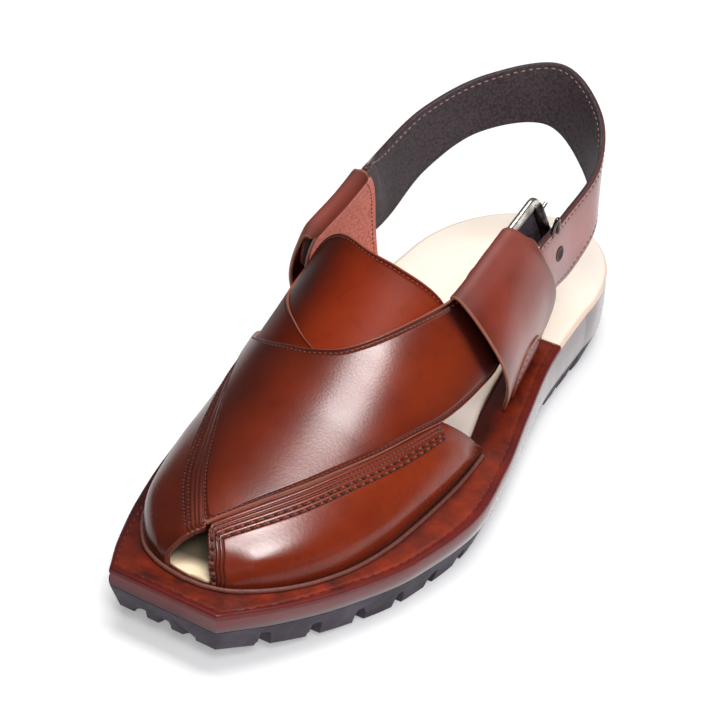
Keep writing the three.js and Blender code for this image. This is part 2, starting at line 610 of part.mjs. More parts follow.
const shoe = new THREE.Group();
shoe.add(
  mesh('outsole', outsole, 0x2a282c, 0.8),
  mesh('midsole', midsole, 0x8c5048, 0.45),
  mesh('welt', welt, 0xb03c18, 0.5),
  mesh('insole', insole, 0xf6e6d2, 0.7),
  mesh('upper', upper, 0x8c3a20, 0.3),
  mesh('heel_strap', heelStrap, 0x8c3a20, 0.35),
  mesh('buckle_frame', buckleFrame, 0xb8b4ae, 0.3, 1),
  mesh('buckle_prong', buckleProng, 0xb8b4ae, 0.3, 1),
);

export default shoe;
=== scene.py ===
import bpy
import numpy as np
from mathutils import Matrix


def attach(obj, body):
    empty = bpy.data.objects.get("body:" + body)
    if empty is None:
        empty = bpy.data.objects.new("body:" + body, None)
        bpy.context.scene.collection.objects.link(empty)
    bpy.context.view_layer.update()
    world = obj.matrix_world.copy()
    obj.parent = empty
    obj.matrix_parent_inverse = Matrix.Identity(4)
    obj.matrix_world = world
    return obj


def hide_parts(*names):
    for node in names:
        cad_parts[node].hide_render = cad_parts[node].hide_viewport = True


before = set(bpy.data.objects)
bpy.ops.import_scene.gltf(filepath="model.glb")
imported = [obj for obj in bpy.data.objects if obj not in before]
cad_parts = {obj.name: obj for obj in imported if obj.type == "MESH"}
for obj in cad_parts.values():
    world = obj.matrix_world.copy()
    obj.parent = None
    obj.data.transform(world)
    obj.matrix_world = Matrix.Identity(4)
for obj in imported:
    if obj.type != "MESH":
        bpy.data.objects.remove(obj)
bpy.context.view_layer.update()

# Sizes of the sandal in millimetres, mostly those of the part: toe towards -Y, buckle side +X
MM = 0.001
SOLE_LENGTH = 291.0
TOE_SKEW, TOE_SKEW_UNTIL = 1.4, 0.15
HEEL_ROUND_AT = 0.82
HEEL_CENTRE_X = -5.8
SEAT_Y = 66.0
GAP = 0.3
WELT_THICK = 2.0
WELT_UNDER = 3.5
INSOLE_CROWN = 0.6
TREAD_TAPER = 4.5
HALF_WIDTH = 45.0
FOOT_HALF_WIDTH, FOOT_HALF_LENGTH, FOOT_MIDDLE_X = 40.0, 130.0, -7.0
FLAT_FOOT_V = 0.93
SKETCH_ROW, SKETCH_V = 14.0, 60.0
CREASE, TREAD_CREASE, FINE_CREASE, STITCH_CREASE = 38, 30, 60, 80


def columns(names, rows):
    """Table with named columns."""
    return np.array([tuple(row) for row in rows], dtype=[(name, float) for name in names.split()])


SOLE_PLAN = columns("at medial lateral", [
    (0.0, 28.4, 15.5), (0.06, 36.2, 28.2), (0.15, 45.1, 42.2), (0.25, 52.2, 52.1), (0.36, 56.4, 56.4),
    (0.47, 54.5, 51.2), (0.58, 50.4, 43.0), (0.7, 46.9, 34.9), (0.82, 45.7, 30.9),
])
SOLE_SIDE = columns("at floor joint top", [
    (0.0, 8.0, 17.8, 25.5), (0.12, 2.6, 14.4, 22.0), (0.25, 0.0, 12.6, 20.2), (0.45, 0.0, 12.2, 21.0),
    (0.6, 0.0, 11.6, 24.0), (0.75, 0.0, 10.8, 27.5), (1.0, 0.0, 10.4, 29.5),
])
LAST = columns("row y medial lateral ridge_x ridge_z belly_m belly_l", [
    (0, -131.6, -4.8, 1.2, -2.5, 27.0, 0.0, 0.0), (1, -129.6, -13.0, 8.0, -4.0, 30.0, 0.4, 0.4),
    (2, -124.5, -22.5, 15.0, -6.0, 33.5, 0.9, 0.9), (3, -116.0, -29.7, 22.4, -7.0, 36.8, 1.3, 1.3),
    (4, -104.0, -36.0, 29.4, -7.0, 41.0, 1.6, 1.6), (5, -88.0, -40.0, 34.8, -6.5, 46.0, 1.8, 1.8),
    (6, -65.0, -43.6, 38.2, -5.5, 54.0, 2.0, 2.0), (7, -35.0, -45.2, 39.3, -5.5, 68.5, 3.0, 2.0),
    (8, -5.0, -42.3, 37.4, -8.5, 84.0, 6.5, 2.5), (9, 20.0, -38.5, 30.6, -10.5, 106.0, 9.0, 4.0),
    (10, 45.0, -35.5, 25.5, -10.0, 138.0, 9.0, 6.0), (11, 75.0, -33.5, 20.5, -9.5, 168.0, 8.0, 7.0),
])


def smooth_column(table, key, name):
    """Monotone cubic through a column: slopes are harmonic means of the secants, and the end secants."""
    x, y = table[key], table[name]
    width = np.diff(x)
    secant = np.diff(y) / width
    product = secant[:-1] * secant[1:]
    total = np.where(product > 0, secant[:-1] + secant[1:], 1.0)
    slope = np.concatenate([secant[:1], np.where(product > 0, 2 * product / total, 0.0), secant[-1:]])

    def value(t):
        i = np.clip(np.searchsorted(x, t) - 1, 0, len(width) - 1)
        u = np.clip((t - x[i]) / width[i], 0, 1)
        rise = y[i + 1] - y[i]
        bend = (1 - u) * (slope[i] * width[i] - rise) + u * (rise - slope[i + 1] * width[i])
        return y[i] + u * rise + u * (1 - u) * bend

    return value


plan_medial = smooth_column(SOLE_PLAN, "at", "medial")
plan_lateral = smooth_column(SOLE_PLAN, "at", "lateral")
sole_floor = smooth_column(SOLE_SIDE, "at", "floor")
sole_joint = smooth_column(SOLE_SIDE, "at", "joint")
sole_top = smooth_column(SOLE_SIDE, "at", "top")
last_column = {name: smooth_column(LAST, "row", name) for name in LAST.dtype.names[1:]}
fine_rows = np.linspace(0, len(LAST) - 1, 4001)
fine_y = last_column["y"](fine_rows)


def mix(a, b, t):
    """Straight mix: a where t is 0, b where t is 1."""
    return a + (b - a) * t


def smooth(x, low, high):
    """Smooth step from 0 at low to 1 at high."""
    t = np.clip((x - low) / (high - low), 0, 1)
    return t * t * (3 - 2 * t)


def bell(x, middle, half):
    """Bell curve: e to the minus square of the distance from the middle, counted in half widths."""
    return np.exp(-((x - middle) / half) ** 2)


def rounded(edge, radius):
    """Drop of a quarter round, counted in radii: 1 at the edge and 0 from one radius inwards."""
    return 1 - np.sqrt(1 - np.clip(1 - edge / radius, 0, 1) ** 2)


def unit(v):
    """Vectors brought to length 1."""
    return v / np.maximum(np.linalg.norm(v, axis=-1, keepdims=True), 1e-9)


def row_at(y):
    """Row of the last at a place along the sole."""
    return np.interp(y, fine_y, fine_rows)


def rim_top(y):
    """Height of the sole's top at a place along it."""
    return sole_top(np.clip(y / SOLE_LENGTH + 0.5, 0, 1))


def last_bare(row, v):
    """Last: cosine arch from the foot to the ridge, with sides that belly by 4 c (1 - c) of their swell."""
    turn = np.abs(v) * np.pi / 2
    ridge = last_column["ridge_x"](row)
    foot = np.where(v < 0, last_column["medial"](row), last_column["lateral"](row))
    y = last_column["y"](row)
    base = rim_top(y) + GAP
    rise = np.cos(turn)
    swell = np.where(v < 0, -last_column["belly_m"](row), last_column["belly_l"](row))
    x = ridge + (foot - ridge) * np.sin(turn) + swell * 4 * rise * (1 - rise)
    return np.stack([x, y, base + (last_column["ridge_z"](row) - base) * rise], -1)


def last_point(row, v, lift):
    """Point above the last: the bare last plus lift along its normal, kept level at the foot."""
    row, v, lift = np.broadcast_arrays(row, v, lift)
    step = 0.01
    along = last_bare(row + step, v) - last_bare(row - step, v)
    around = last_bare(row, v + step) - last_bare(row, v - step)
    bare = last_bare(row, v)
    point = bare - lift[..., None] * unit(np.cross(along, around))
    level = np.maximum(point[..., 2], bare[..., 2])
    point[..., 2] = np.where(np.abs(v) > FLAT_FOOT_V, level, point[..., 2])
    return point


def rim(side, at):
    """Edge of the sole: plan half width at shares of the length, closed at the heel as half an ellipse."""
    plan = plan_medial if side < 0 else plan_lateral
    straight = side * plan(np.minimum(at, HEEL_ROUND_AT))
    back = np.clip((at - HEEL_ROUND_AT) / (1 - HEEL_ROUND_AT), 0, 1)
    x = mix(HEEL_CENTRE_X, straight, np.sqrt(1 - back * back))
    skew = -side * TOE_SKEW * np.maximum(0, 1 - at / TOE_SKEW_UNTIL)
    return np.stack([x, (at - 0.5) * SOLE_LENGTH + skew], -1)


def sole_point(at, across, inset):
    """Point of a sole plate: straight across between both edges, drawn in by the inset."""
    medial, lateral = rim(-1, at), rim(1, at)
    middle = (medial[..., 0] + lateral[..., 0]) / 2
    flat = mix(medial, lateral, across[..., None])
    x = middle + (flat[..., 0] - middle) * (1 - inset / HALF_WIDTH)
    return x, flat[..., 1] * (1 - inset / (SOLE_LENGTH / 2))


def foot_line(side, row, inset):
    """Line under the upper's foot: the last's foot drawn in by the inset."""
    foot = last_column["medial" if side < 0 else "lateral"](row)
    y = last_column["y"](row)
    x = FOOT_MIDDLE_X + (foot - FOOT_MIDDLE_X) * (1 - inset / FOOT_HALF_WIDTH)
    return np.stack([x, np.where(y < 0, y * (1 - inset / FOOT_HALF_LENGTH), y)], -1)


# Meshes from arrays
def cells(grid):
    """Four-sided faces between the neighbours of an index grid."""
    return np.stack([grid[:-1, :-1], grid[1:, :-1], grid[1:, 1:], grid[:-1, 1:]], -1).reshape(-1, 4)


def shell(outer, inner):
    """Closed sheet between an outer and an inner grid of points, with a wall round the border."""
    n, m = outer.shape[:2]
    grid = np.arange(n * m).reshape(n, m)
    border = np.concatenate([grid[0, :-1], grid[:-1, -1], grid[-1, :0:-1], grid[:0:-1, 0]])
    ahead = np.roll(border, -1)
    walls = np.stack([border, ahead, ahead + n * m, border + n * m], -1)
    faces = np.concatenate([cells(grid), cells(grid)[:, ::-1] + n * m, walls])
    return np.concatenate([outer.reshape(-1, 3), inner.reshape(-1, 3)]), faces


def tube_faces(count, ring):
    """Faces of a grid of rings, closed round each ring and open at both ends."""
    grid = np.arange(count * ring).reshape(count, ring)
    return cells(np.pad(grid, ((0, 0), (0, 1)), "wrap"))


def end_caps(count, ring):
    """Faces that close the first and the last ring of a grid of rings, wound against the walls."""
    first = np.arange(ring)
    return [first[::-1], first + (count - 1) * ring]


def arc_length(line):
    """Length from the first point to each point along the first axis."""
    steps = np.linalg.norm(np.diff(line, axis=0), axis=-1)
    return np.concatenate([np.zeros_like(steps[:1]), np.cumsum(steps, axis=0)])


def edge_distance(grid):
    """Distance to the nearest border of a grid of points, measured along its lines."""
    along = arc_length(grid)
    across = arc_length(grid.swapaxes(0, 1)).T
    return np.minimum.reduce([along, along[-1] - along, across, across[:, -1:] - across])


def along_line(at, places, line):
    """Points between the marks of a line, at places counted like those of its marks."""
    return np.stack([np.interp(at, places, line[:, k]) for k in range(line.shape[1])], -1)


def gathered(count):
    """Shares from 0 to 1 that lie closer together near both ends, as a cosine does."""
    return 0.5 - 0.5 * np.cos(np.pi * np.linspace(0, 1, count))


def placed(name, data):
    """Object of a mesh, light or camera in the scene."""
    obj = bpy.data.objects.new(name, data)
    bpy.context.scene.collection.objects.link(obj)
    return obj


def piece(name, points, faces, finish, node=None, marks=None, crease=CREASE, caps=()):
    """Mesh object from points in millimetres, its four-sided faces and any end caps, riding on the sandal.

    The sign of its volume, the sum of a (b x c + c x d) over the faces, turns the walls outwards.
    """
    a, b, c, d = (points[faces[:, k]] for k in range(4))
    if np.einsum("ij,ij->", a, np.cross(b, c) + np.cross(c, d)) < 0:
        faces = faces[:, ::-1]
        caps = [cap[::-1] for cap in caps]
    loops = np.concatenate([faces.ravel(), *caps]).astype(np.int32)
    sizes = np.concatenate([np.full(len(faces), 4), [len(cap) for cap in caps]]).astype(np.int32)
    starts = np.concatenate([[0], np.cumsum(sizes)[:-1]]).astype(np.int32)
    mesh = bpy.data.meshes.new(name)
    mesh.vertices.add(len(points))
    mesh.vertices.foreach_set("co", (points * MM).astype(np.float32).ravel())
    mesh.loops.add(len(loops))
    mesh.loops.foreach_set("vertex_index", loops)
    mesh.polygons.add(len(sizes))
    mesh.polygons.foreach_set("loop_start", starts)
    mesh.polygons.foreach_set("use_smooth", np.ones(len(sizes), bool))
    for mark, values in (marks or {}).items():
        layer = mesh.attributes.new(mark, "FLOAT", "POINT")
        layer.data.foreach_set("value", np.asarray(values, np.float32).ravel())
    mesh.update(calc_edges=True)
    mesh.validate()
    mesh.set_sharp_from_angle(angle=np.radians(crease))
    mesh.materials.append(finish)
    obj = placed(name, mesh)
    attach(obj, "root")
    if node:
        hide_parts(node)


def ringed(name, grid, finish, node=None, marks=None, crease=CREASE):
    """Piece from a grid of rings, closed round each ring and capped at both ends."""
    size = grid.shape[:2]
    piece(name, grid.reshape(-1, 3), tube_faces(*size), finish, node, marks, crease, end_caps(*size))


# Finishes
class Val:
    """A number socket that takes part in sums."""

    def __init__(self, tree, socket):
        self.tree, self.socket = tree, socket

    def math(self, operation, *values):
        """Maths node on sockets and constants."""
        node = self.tree.nodes.new("ShaderNodeMath")
        node.operation = operation
        for socket, value in zip(node.inputs, values):
            if isinstance(value, Val):
                self.tree.links.new(value.socket, socket)
            else:
                socket.default_value = value
        return Val(self.tree, node.outputs[0])

    def __add__(self, other):
        return self.math("ADD", self, other)

    def __sub__(self, other):
        return self.math("SUBTRACT", self, other)

    def __rsub__(self, other):
        return self.math("SUBTRACT", other, self)

    def __mul__(self, other):
        return self.math("MULTIPLY", self, other)

    __radd__, __rmul__ = __add__, __mul__

    def exp(self):
        return self.math("EXPONENT", self)

    def clip(self):
        """Value kept between 0 and 1."""
        return self.math("MINIMUM", self.math("MAXIMUM", self, 0.0), 1.0)

    def above(self, low, high):
        """Ramp from 0 at low to 1 at high."""
        return ((self - low) * (1.0 / (high - low))).clip()


def srgb(r, g, b):
    """Linear colour of 8-bit display values."""
    c = np.array([r, g, b]) / 255
    return (*np.where(c <= 0.04045, c / 12.92, ((c + 0.055) / 1.055) ** 2.4), 1.0)


# Dark brown of burnished edges and specks, and of painted shade where a sheet's shade mark is high
DARK_BURNISH_AND_SHADE, FOLDED_EDGE = srgb(42, 10, 6), srgb(158, 92, 72)
# The toe panels' first furrow, 0.2 mm inside the vamp's edge, is painted shadow under that edge
SEAM_IN, TOE_EDGE_SHADOW_IN = 1.9, 0.2
TOE_ROWS = (2.0, 3.6, 5.5, 7.5)
FURROW_HALF = 0.5


class Finish:
    """Procedural material made of one principled shader."""

    def __init__(self, name, **constants):
        self.material = bpy.data.materials.new(name)
        self.material.use_nodes = True
        self.tree = self.material.node_tree
        self.shader = self.tree.nodes["Principled BSDF"]
        for socket, value in constants.items():
            self.shader.inputs[socket.replace("_", " ")].default_value = value
        self.place = self.node("ShaderNodeTexCoord", {}, {}).outputs["Object"]

    def node(self, kind, settings, sockets):
        """New node with its settings made and its sockets fed."""
        node = self.tree.nodes.new(kind)
        for setting, value in settings.items():
            setattr(node, setting, value)
        for socket, value in sockets.items():
            self.feed(node.inputs[socket], value)
        return node

    def feed(self, socket, value):
        """Links a socket to a value, or sets its constant."""
        source = value.socket if isinstance(value, Val) else value
        if isinstance(source, bpy.types.NodeSocket):
            self.tree.links.new(source, socket)
        else:
            socket.default_value = source

    def noise(self, scale, detail=2.0, rough=0.5, stretch=None):
        """Noise on object coordinates, stretched by scales."""
        place = self.place
        if stretch:
            place = self.node("ShaderNodeMapping", {}, {"Vector": place, "Scale": stretch}).outputs[0]
        sockets = {"Vector": place, "Scale": scale, "Detail": detail, "Roughness": rough}
        return Val(self.tree, self.node("ShaderNodeTexNoise", {}, sockets).outputs[0])

    def pores(self, scale):
        """Distance to the nearest of scattered points."""
        node = self.node("ShaderNodeTexVoronoi", {"feature": "F1"}, {"Vector": self.place, "Scale": scale})
        return Val(self.tree, node.outputs["Distance"])

    def mark(self, name):
        """Value stored with the mesh's points."""
        node = self.node("ShaderNodeAttribute", {"attribute_name": name}, {})
        return Val(self.tree, node.outputs["Fac"])

    def axis(self, name):
        """One object coordinate in metres."""
        node = self.node("ShaderNodeSeparateXYZ", {}, {"Vector": self.place})
        return Val(self.tree, node.outputs[name])

    def colour(self, share, first, second):
        """Mix of two colours: the first where the share is 0."""
        node = self.node("ShaderNodeMix", {"data_type": "RGBA"}, {})
        for socket, value in ((0, share), (6, first), (7, second)):
            self.feed(node.inputs[socket], value)
        return node.outputs[2]

    def furrows(self, place, middles, half):
        """Sum of bell-shaped furrows of a half width round the given middles."""
        total = place * 0.0
        for middle in middles:
            away = (place - middle) * (1.0 / half)
            total = total + (away * away * -1.0).exp()
        return total.clip()

    def bump(self, height, strength, distance):
        """Normal tilted by the slope of a height."""
        sockets = {"Height": height, "Strength": strength, "Distance": distance}
        return self.node("ShaderNodeBump", {}, sockets).outputs[0]

    def done(self, **varying):
        """Feeds the varying sockets and gives the material."""
        for socket, value in varying.items():
            self.feed(self.shader.inputs[socket.replace("_", " ")], value)
        return self.material


def polished_leather(name, light, deep, edge_colour, grooves=(), ink=0.5, gloss=0.17, shine=0.5):
    """Polished leather: two browns in slow clouds, darkened by painted shade with some burnish where its
    shade mark says, burnished at edges, dark in its seams.
    """
    f = Finish(name, Specular_IOR_Level=shine)
    edge, burnish_and_shade, line, matte = f.mark("edge"), f.mark("burnish_and_shade"), f.mark("line"), f.mark("matte")
    cloud = f.noise(24, 3, 0.55).above(0.36, 0.68)
    base = f.colour(cloud, light, deep)
    # Painted shade, with some burnish, where the sheet's shade mark is high
    base = f.colour((burnish_and_shade * (0.75 + 0.5 * f.noise(45, 3))).clip(), base, DARK_BURNISH_AND_SHADE)
    burn = (edge * -0.2).exp() * (0.4 + 0.6 * f.noise(60, 2))
    base = f.colour((burn * 0.8).clip(), base, DARK_BURNISH_AND_SHADE)
    base = f.colour(((f.noise(260, 2, 0.6) - 0.54) * 0.8).clip(), base, DARK_BURNISH_AND_SHADE)
    groove = f.furrows(line, grooves, FURROW_HALF)
    base = f.colour((groove * ink).clip(), base, DARK_BURNISH_AND_SHADE)
    cut = 1 - edge.above(0.55, 0.95)
    base = f.colour(cut * 0.8, base, edge_colour)
    grain = f.noise(1500, 2, 0.6) * 0.05 + f.pores(900) * 0.04 + f.noise(240, 2) * 0.015
    rough = gloss + 0.08 * f.noise(75, 3) + 0.12 * cut + 0.1 * groove + 0.4 * matte
    return f.done(Base_Color=base, Roughness=rough, Normal=f.bump(grain - groove, 0.7, 0.0004))


def grained_lining(name, light, deep, gloss=0.5, pore=950):
    """Grained lining leather: pebbled cells over slow clouds."""
    f = Finish(name, Specular_IOR_Level=0.25)
    cell = f.pores(pore)
    base = f.colour((cell * 1.1 + f.noise(40, 3) * 0.45 - 0.2).clip(), light, deep)
    normal = f.bump(cell + f.noise(1400, 2) * 0.4, 0.25, 0.0005)
    return f.done(Base_Color=base, Roughness=gloss + 0.12 * f.noise(120, 2), Normal=normal)


def welt_finish():
    """Waxed welt: orange red with fibres, stained dark along its rim, with painted shade along its inner edge
    under the upper and down the medial side.
    """
    f = Finish("waxed_welt", Specular_IOR_Level=0.25, Coat_Roughness=0.45)
    across = f.mark("across")
    blotch = f.noise(70, 4, 0.65)
    base = f.colour(blotch.above(0.35, 0.68), srgb(132, 41, 15), srgb(62, 16, 10))
    rim_stain = 1 - across.above(0.05, 0.17)
    seam_shade = across.above(0.52, 0.8)
    base = f.colour((rim_stain * 0.8).clip(), base, srgb(84, 12, 16))
    # Painted shade along the inner edge, under the foot of the upper
    base = f.colour((seam_shade * 0.85).clip(), base, srgb(58, 18, 12))
    # Painted shade down the medial side
    base = f.colour((1 - f.axis("X").above(-0.05, -0.01)) * 0.9, base, srgb(34, 7, 8))
    wax = f.axis("X").above(-0.01, 0.03) * 0.4
    fibre = f.bump(f.noise(700, 3, 0.6), 0.25, 0.0005)
    return f.done(Base_Color=base, Roughness=0.34 + 0.16 * blotch, Coat_Weight=wax, Normal=fibre)


def midsole_finish():
    """Burnished sole edge: rose brown with fine lines along its layers, redder at the top in front."""
    f = Finish("burnished_edge", Specular_IOR_Level=0.4, Coat_Roughness=0.2)
    layer = f.noise(14, 2, 0.5, (1.0, 1.0, 60.0))
    base = f.colour((layer - 0.2).clip(), srgb(70, 20, 24), srgb(50, 13, 17))
    base = f.colour((f.noise(90, 3) - 0.45).clip(), base, srgb(42, 11, 14))
    painted = f.mark("up").above(0.15, 0.75) * (1 - f.axis("Y").above(-0.02, 0.04))
    base = f.colour(painted * 0.6, base, srgb(108, 24, 28))
    rough = 0.24 + 0.14 * f.noise(110, 2)
    wax = f.axis("X").above(0.0, 0.03) * 0.9
    return f.done(Base_Color=base, Roughness=rough, Coat_Weight=wax, Normal=f.bump(layer, 0.12, 0.0004))


def rubber_finish():
    """Moulded rubber: charcoal with a dusty bloom and a fine pitted skin."""
    f = Finish("moulded_rubber", Specular_IOR_Level=0.35)
    dust = f.noise(55, 4, 0.6)
    base = f.colour(dust.above(0.4, 0.7), srgb(44, 38, 46), srgb(74, 66, 76))
    pit = f.noise(900, 3, 0.7)
    return f.done(Base_Color=base, Roughness=0.62 + 0.2 * dust, Normal=f.bump(pit, 0.3, 0.0006))


def insole_finish():
    """Pale insole leather: cream with a warm bloom and fine grain, with painted shadow inside the toe behind
    the peep toe.
    """
    f = Finish("cream_insole", Specular_IOR_Level=0.35)
    bloom = f.noise(16, 3, 0.5)
    base = f.colour(bloom.above(0.35, 0.7), srgb(255, 243, 230), srgb(252, 234, 217))
    ahead = f.axis("Y")
    base = f.colour(1 - ahead.above(-0.11, -0.06), base, srgb(250, 226, 190))
    # Painted shadow deep inside the toe, behind the peep toe opening
    peep_shadow = ahead.above(-0.1265, -0.12) * (1 - ahead.above(-0.1, -0.06))
    base = f.colour(peep_shadow * 0.8, base, srgb(74, 62, 44))
    base = f.colour((1 - f.mark("edge").above(0.4, 1.4)) * 0.6, base, srgb(196, 160, 132))
    grain = f.bump(f.pores(800) + 0.6 * f.noise(1300, 2), 0.12, 0.0004)
    return f.done(Base_Color=base, Roughness=0.5 + 0.12 * f.noise(90, 2), Normal=grain)


def thread_finish(name, light, deep):
    """Waxed thread: two shades twisted along its length."""
    f = Finish(name, Specular_IOR_Level=0.4)
    ply = f.noise(1100, 1, 0.4)
    base = f.colour(ply, light, deep)
    return f.done(Base_Color=base, Roughness=0.5 + 0.2 * ply, Normal=f.bump(ply, 0.4, 0.0003))


def steel_finish(name, light, deep):
    """Worn polished steel: brushed streaks and patches of tarnish."""
    f = Finish(name, Metallic=1.0)
    tarnish = f.noise(190, 4, 0.65).above(0.46, 0.68)
    base = f.colour(tarnish, light, deep)
    streak = f.noise(60, 2, 0.5, (1.0, 14.0, 14.0))
    rough = 0.22 + 0.22 * tarnish + 0.1 * streak
    return f.done(Base_Color=base, Roughness=rough, Normal=f.bump(streak, 0.1, 0.0003))


def hole_finish():
    """Punched hole: black in the middle as painted shade of its depth, and dark leather on its rolled rim."""
    f = Finish("punched_hole", Specular_IOR_Level=0.3)
    # Black middle: painted shade of the hole's depth
    base = f.colour(f.mark("edge").above(1.3, 2.2), srgb(14, 9, 9), srgb(74, 42, 40))
    skin = f.bump(f.noise(900, 2), 0.2, 0.0003)
    return f.done(Base_Color=base, Roughness=0.45 + 0.2 * f.noise(600, 2), Normal=skin)


COGNAC = polished_leather(
    "cognac_leather", srgb(116, 38, 11), srgb(92, 25, 7), FOLDED_EDGE, (SEAM_IN,), gloss=0.25, shine=0.34)
TONGUE_COGNAC = polished_leather(
    "tongue_leather", srgb(132, 45, 18), srgb(114, 33, 13), FOLDED_EDGE, (SEAM_IN,), gloss=0.4, shine=0.06)
TOE_COGNAC = polished_leather(
    "toe_leather", srgb(132, 46, 16), srgb(106, 32, 10), srgb(96, 46, 34),
    (TOE_EDGE_SHADOW_IN, *TOE_ROWS), ink=0.7, gloss=0.23, shine=0.34)
WING_LEATHER = polished_leather(
    "wing_leather", srgb(126, 44, 24), srgb(104, 32, 18), srgb(140, 78, 58), gloss=0.28, shine=0.85)
# The strap's light pink-brown base is partly painted sheen, standing in for its reflection of the bright
# floor
STRAP_LEATHER = polished_leather(
    "strap_leather", srgb(160, 92, 86), srgb(136, 74, 68), srgb(72, 36, 30), gloss=0.17, shine=0.9)
WING_LINING = grained_lining("wing_lining", srgb(248, 148, 130), srgb(200, 108, 94), 0.55, 900)
STRAP_LINING = grained_lining("strap_lining", srgb(74, 63, 67), srgb(46, 38, 42))
WELT_FINISH = welt_finish()
MIDSOLE_FINISH = midsole_finish()
RUBBER = rubber_finish()
CREAM = insole_finish()
DARK_THREAD = thread_finish("dark_thread", srgb(58, 26, 18), srgb(34, 14, 10))
STRAP_THREAD = thread_finish("strap_thread", srgb(128, 82, 76), srgb(104, 60, 56))
ROSE_THREAD = thread_finish("rose_thread", srgb(132, 76, 66), srgb(92, 46, 38))
TAN_THREAD = thread_finish("tan_thread", srgb(176, 142, 120), srgb(120, 88, 72))
WELT_THREAD = thread_finish("welt_thread", srgb(104, 34, 18), srgb(64, 20, 12))
STEEL = steel_finish("worn_steel", srgb(218, 212, 204), srgb(140, 130, 120))
DARK_STEEL = steel_finish("dark_steel", srgb(92, 82, 78), srgb(48, 40, 38))
CORD_FINISH = thread_finish("waxed_cord", srgb(124, 76, 66), srgb(84, 44, 36))
HOLE_FINISH = hole_finish()


# Small sewn and bent things: each kind of stitch has a pitch, a length and a thickness
WELT_STITCH, STRAP_STITCH = (4.2, 3.0, 0.6), (2.9, 2.1, 0.6)
WING_STITCH, PATCH_STITCH, FINE_STITCH = (2.2, 1.6, 0.55), (2.4, 1.7, 0.55), (1.9, 1.35, 0.45)
TOE_STITCH, TOE_GAP, TOE_BEAD = (1.7, 1.3, 0.5), (3.5, 1.9, 1.05), (3.5, 1.5, 1.0)
FIRST_STITCH, STITCH_PROBE, STITCH_BED = 0.25, 0.2, 0.1
SPINDLE = columns("along size lift", [
    (-0.5, 0.3, -0.6), (-0.3, 0.9, 0.1), (0.0, 1.0, 0.25), (0.3, 0.9, 0.1), (0.5, 0.3, -0.6),
])


def resample(path, pitch, phase):
    """Points, directions and shares at an even pitch along a line, shifted by a share of the pitch."""
    length = arc_length(path)
    count = max(2, int(length[-1] / pitch))
    at = (np.arange(count) + FIRST_STITCH + phase) * length[-1] / count
    ahead, behind = (along_line(at + step, length, path) for step in (STITCH_PROBE, -STITCH_PROBE))
    return along_line(at, length, path), unit(ahead - behind), at / length[-1]


def stitch_row(name, path, normals, stitch, thread, phase=0.0):
    """Row of stitches: four-sided spindles at an even pitch, each bedded in the leather at both ends."""
    pitch, long, thick = stitch
    spots, along, share = resample(path, pitch, phase)
    up = unit(along_line(share, np.linspace(0, 1, len(normals)), normals))
    side = unit(np.cross(up, along))
    turn = np.array([0.25, 0.75, 1.25, 1.75]) * np.pi
    radius = SPINDLE["size"][:, None] * thick / 2
    local_side = (radius * np.cos(turn)).ravel()
    local_up = (radius * np.sin(turn) + (SPINDLE["lift"] * thick - STITCH_BED)[:, None]).ravel()
    local_along = np.repeat(SPINDLE["along"] * long, len(turn))
    points = (spots[:, None] + along[:, None] * local_along[:, None]
              + side[:, None] * local_side[:, None] + up[:, None] * local_up[:, None])
    size = len(SPINDLE), len(turn)
    one = np.concatenate([tube_faces(*size), end_caps(*size)])
    faces = (one[None] + len(local_side) * np.arange(len(spots))[:, None, None]).reshape(-1, 4)
    piece(name, points.reshape(-1, 3), faces, thread, crease=STITCH_CREASE)


def rod(name, path, radius, sides, finish, node=None, up=(0, 0, 1)):
    """Round rod: a circle of changing radius carried along a line of points, closed at both ends."""
    along = unit(np.gradient(path, axis=0))
    side = unit(np.cross(along, np.array(up, float)))
    over = np.cross(side, along)
    turn = np.linspace(0, 2 * np.pi, sides, endpoint=False)[:, None]
    radius = np.broadcast_to(radius, len(path))[:, None, None]
    ring = side[:, None] * np.cos(turn) + over[:, None] * np.sin(turn)
    ringed(name, path[:, None] + radius * ring, finish, node)


# Sole
WALL_COLUMNS, LAST_RING, RING_GATHER = 9, 0.9989, 1.6


def sole_rings(count, columns_across):
    """Shares along, across and up for rings round a sole plate, closer together towards the heel.

    A ring runs along the underside, up the lateral wall, over the top and down the medial wall.
    """
    level = np.linspace(0, 1, WALL_COLUMNS + 2)[1:-1]
    wall = np.ones(WALL_COLUMNS)
    across = np.concatenate([np.linspace(0, 1, columns_across), wall, [1.0, 0.5, 0.0], 0 * wall])
    up = np.concatenate([np.zeros(columns_across), level, np.ones(3), level[::-1]])
    at = 1 - (1 - np.linspace(0, LAST_RING, count)) ** RING_GATHER
    return np.broadcast_arrays(at[:, None], across[None], up[None])


TREAD_FIELDS = ((-0.03, 0.48), (0.73, 1.03))
SHOULDER_SLOTS = (0.05, 0.11, 0.17, 0.23, 0.29, 0.35, 0.41, 0.77, 0.82, 0.87, 0.92)
GROOVE_SHARES = (0.27, 0.5, 0.73)
GROOVE_WIDE, GROOVE_DEEP, GROOVE_SWING, GROOVE_FULL_AT = 4.5, 5.0, 0.05, 0.08
CROSS_PITCH, CROSS_SLANT, CROSS_HALF, CROSS_DEEP, CROSS_CLEAR = 21.0, 0.32, 0.75, 3.2, 8.0
SLOT_WIDE, SLOT_DEEP, SLOT_HIGH, WAIST_DEEP = 3.6, 9.0, 7.0, 3.5
WIDE_FLANK, THIN_FLANK = 0.7, 0.6


def band(distance, half, soft):
    """1 inside a band of half width, 0 outside, with soft flanks."""
    return np.clip((half - np.abs(distance)) / soft + 0.5, 0, 1)


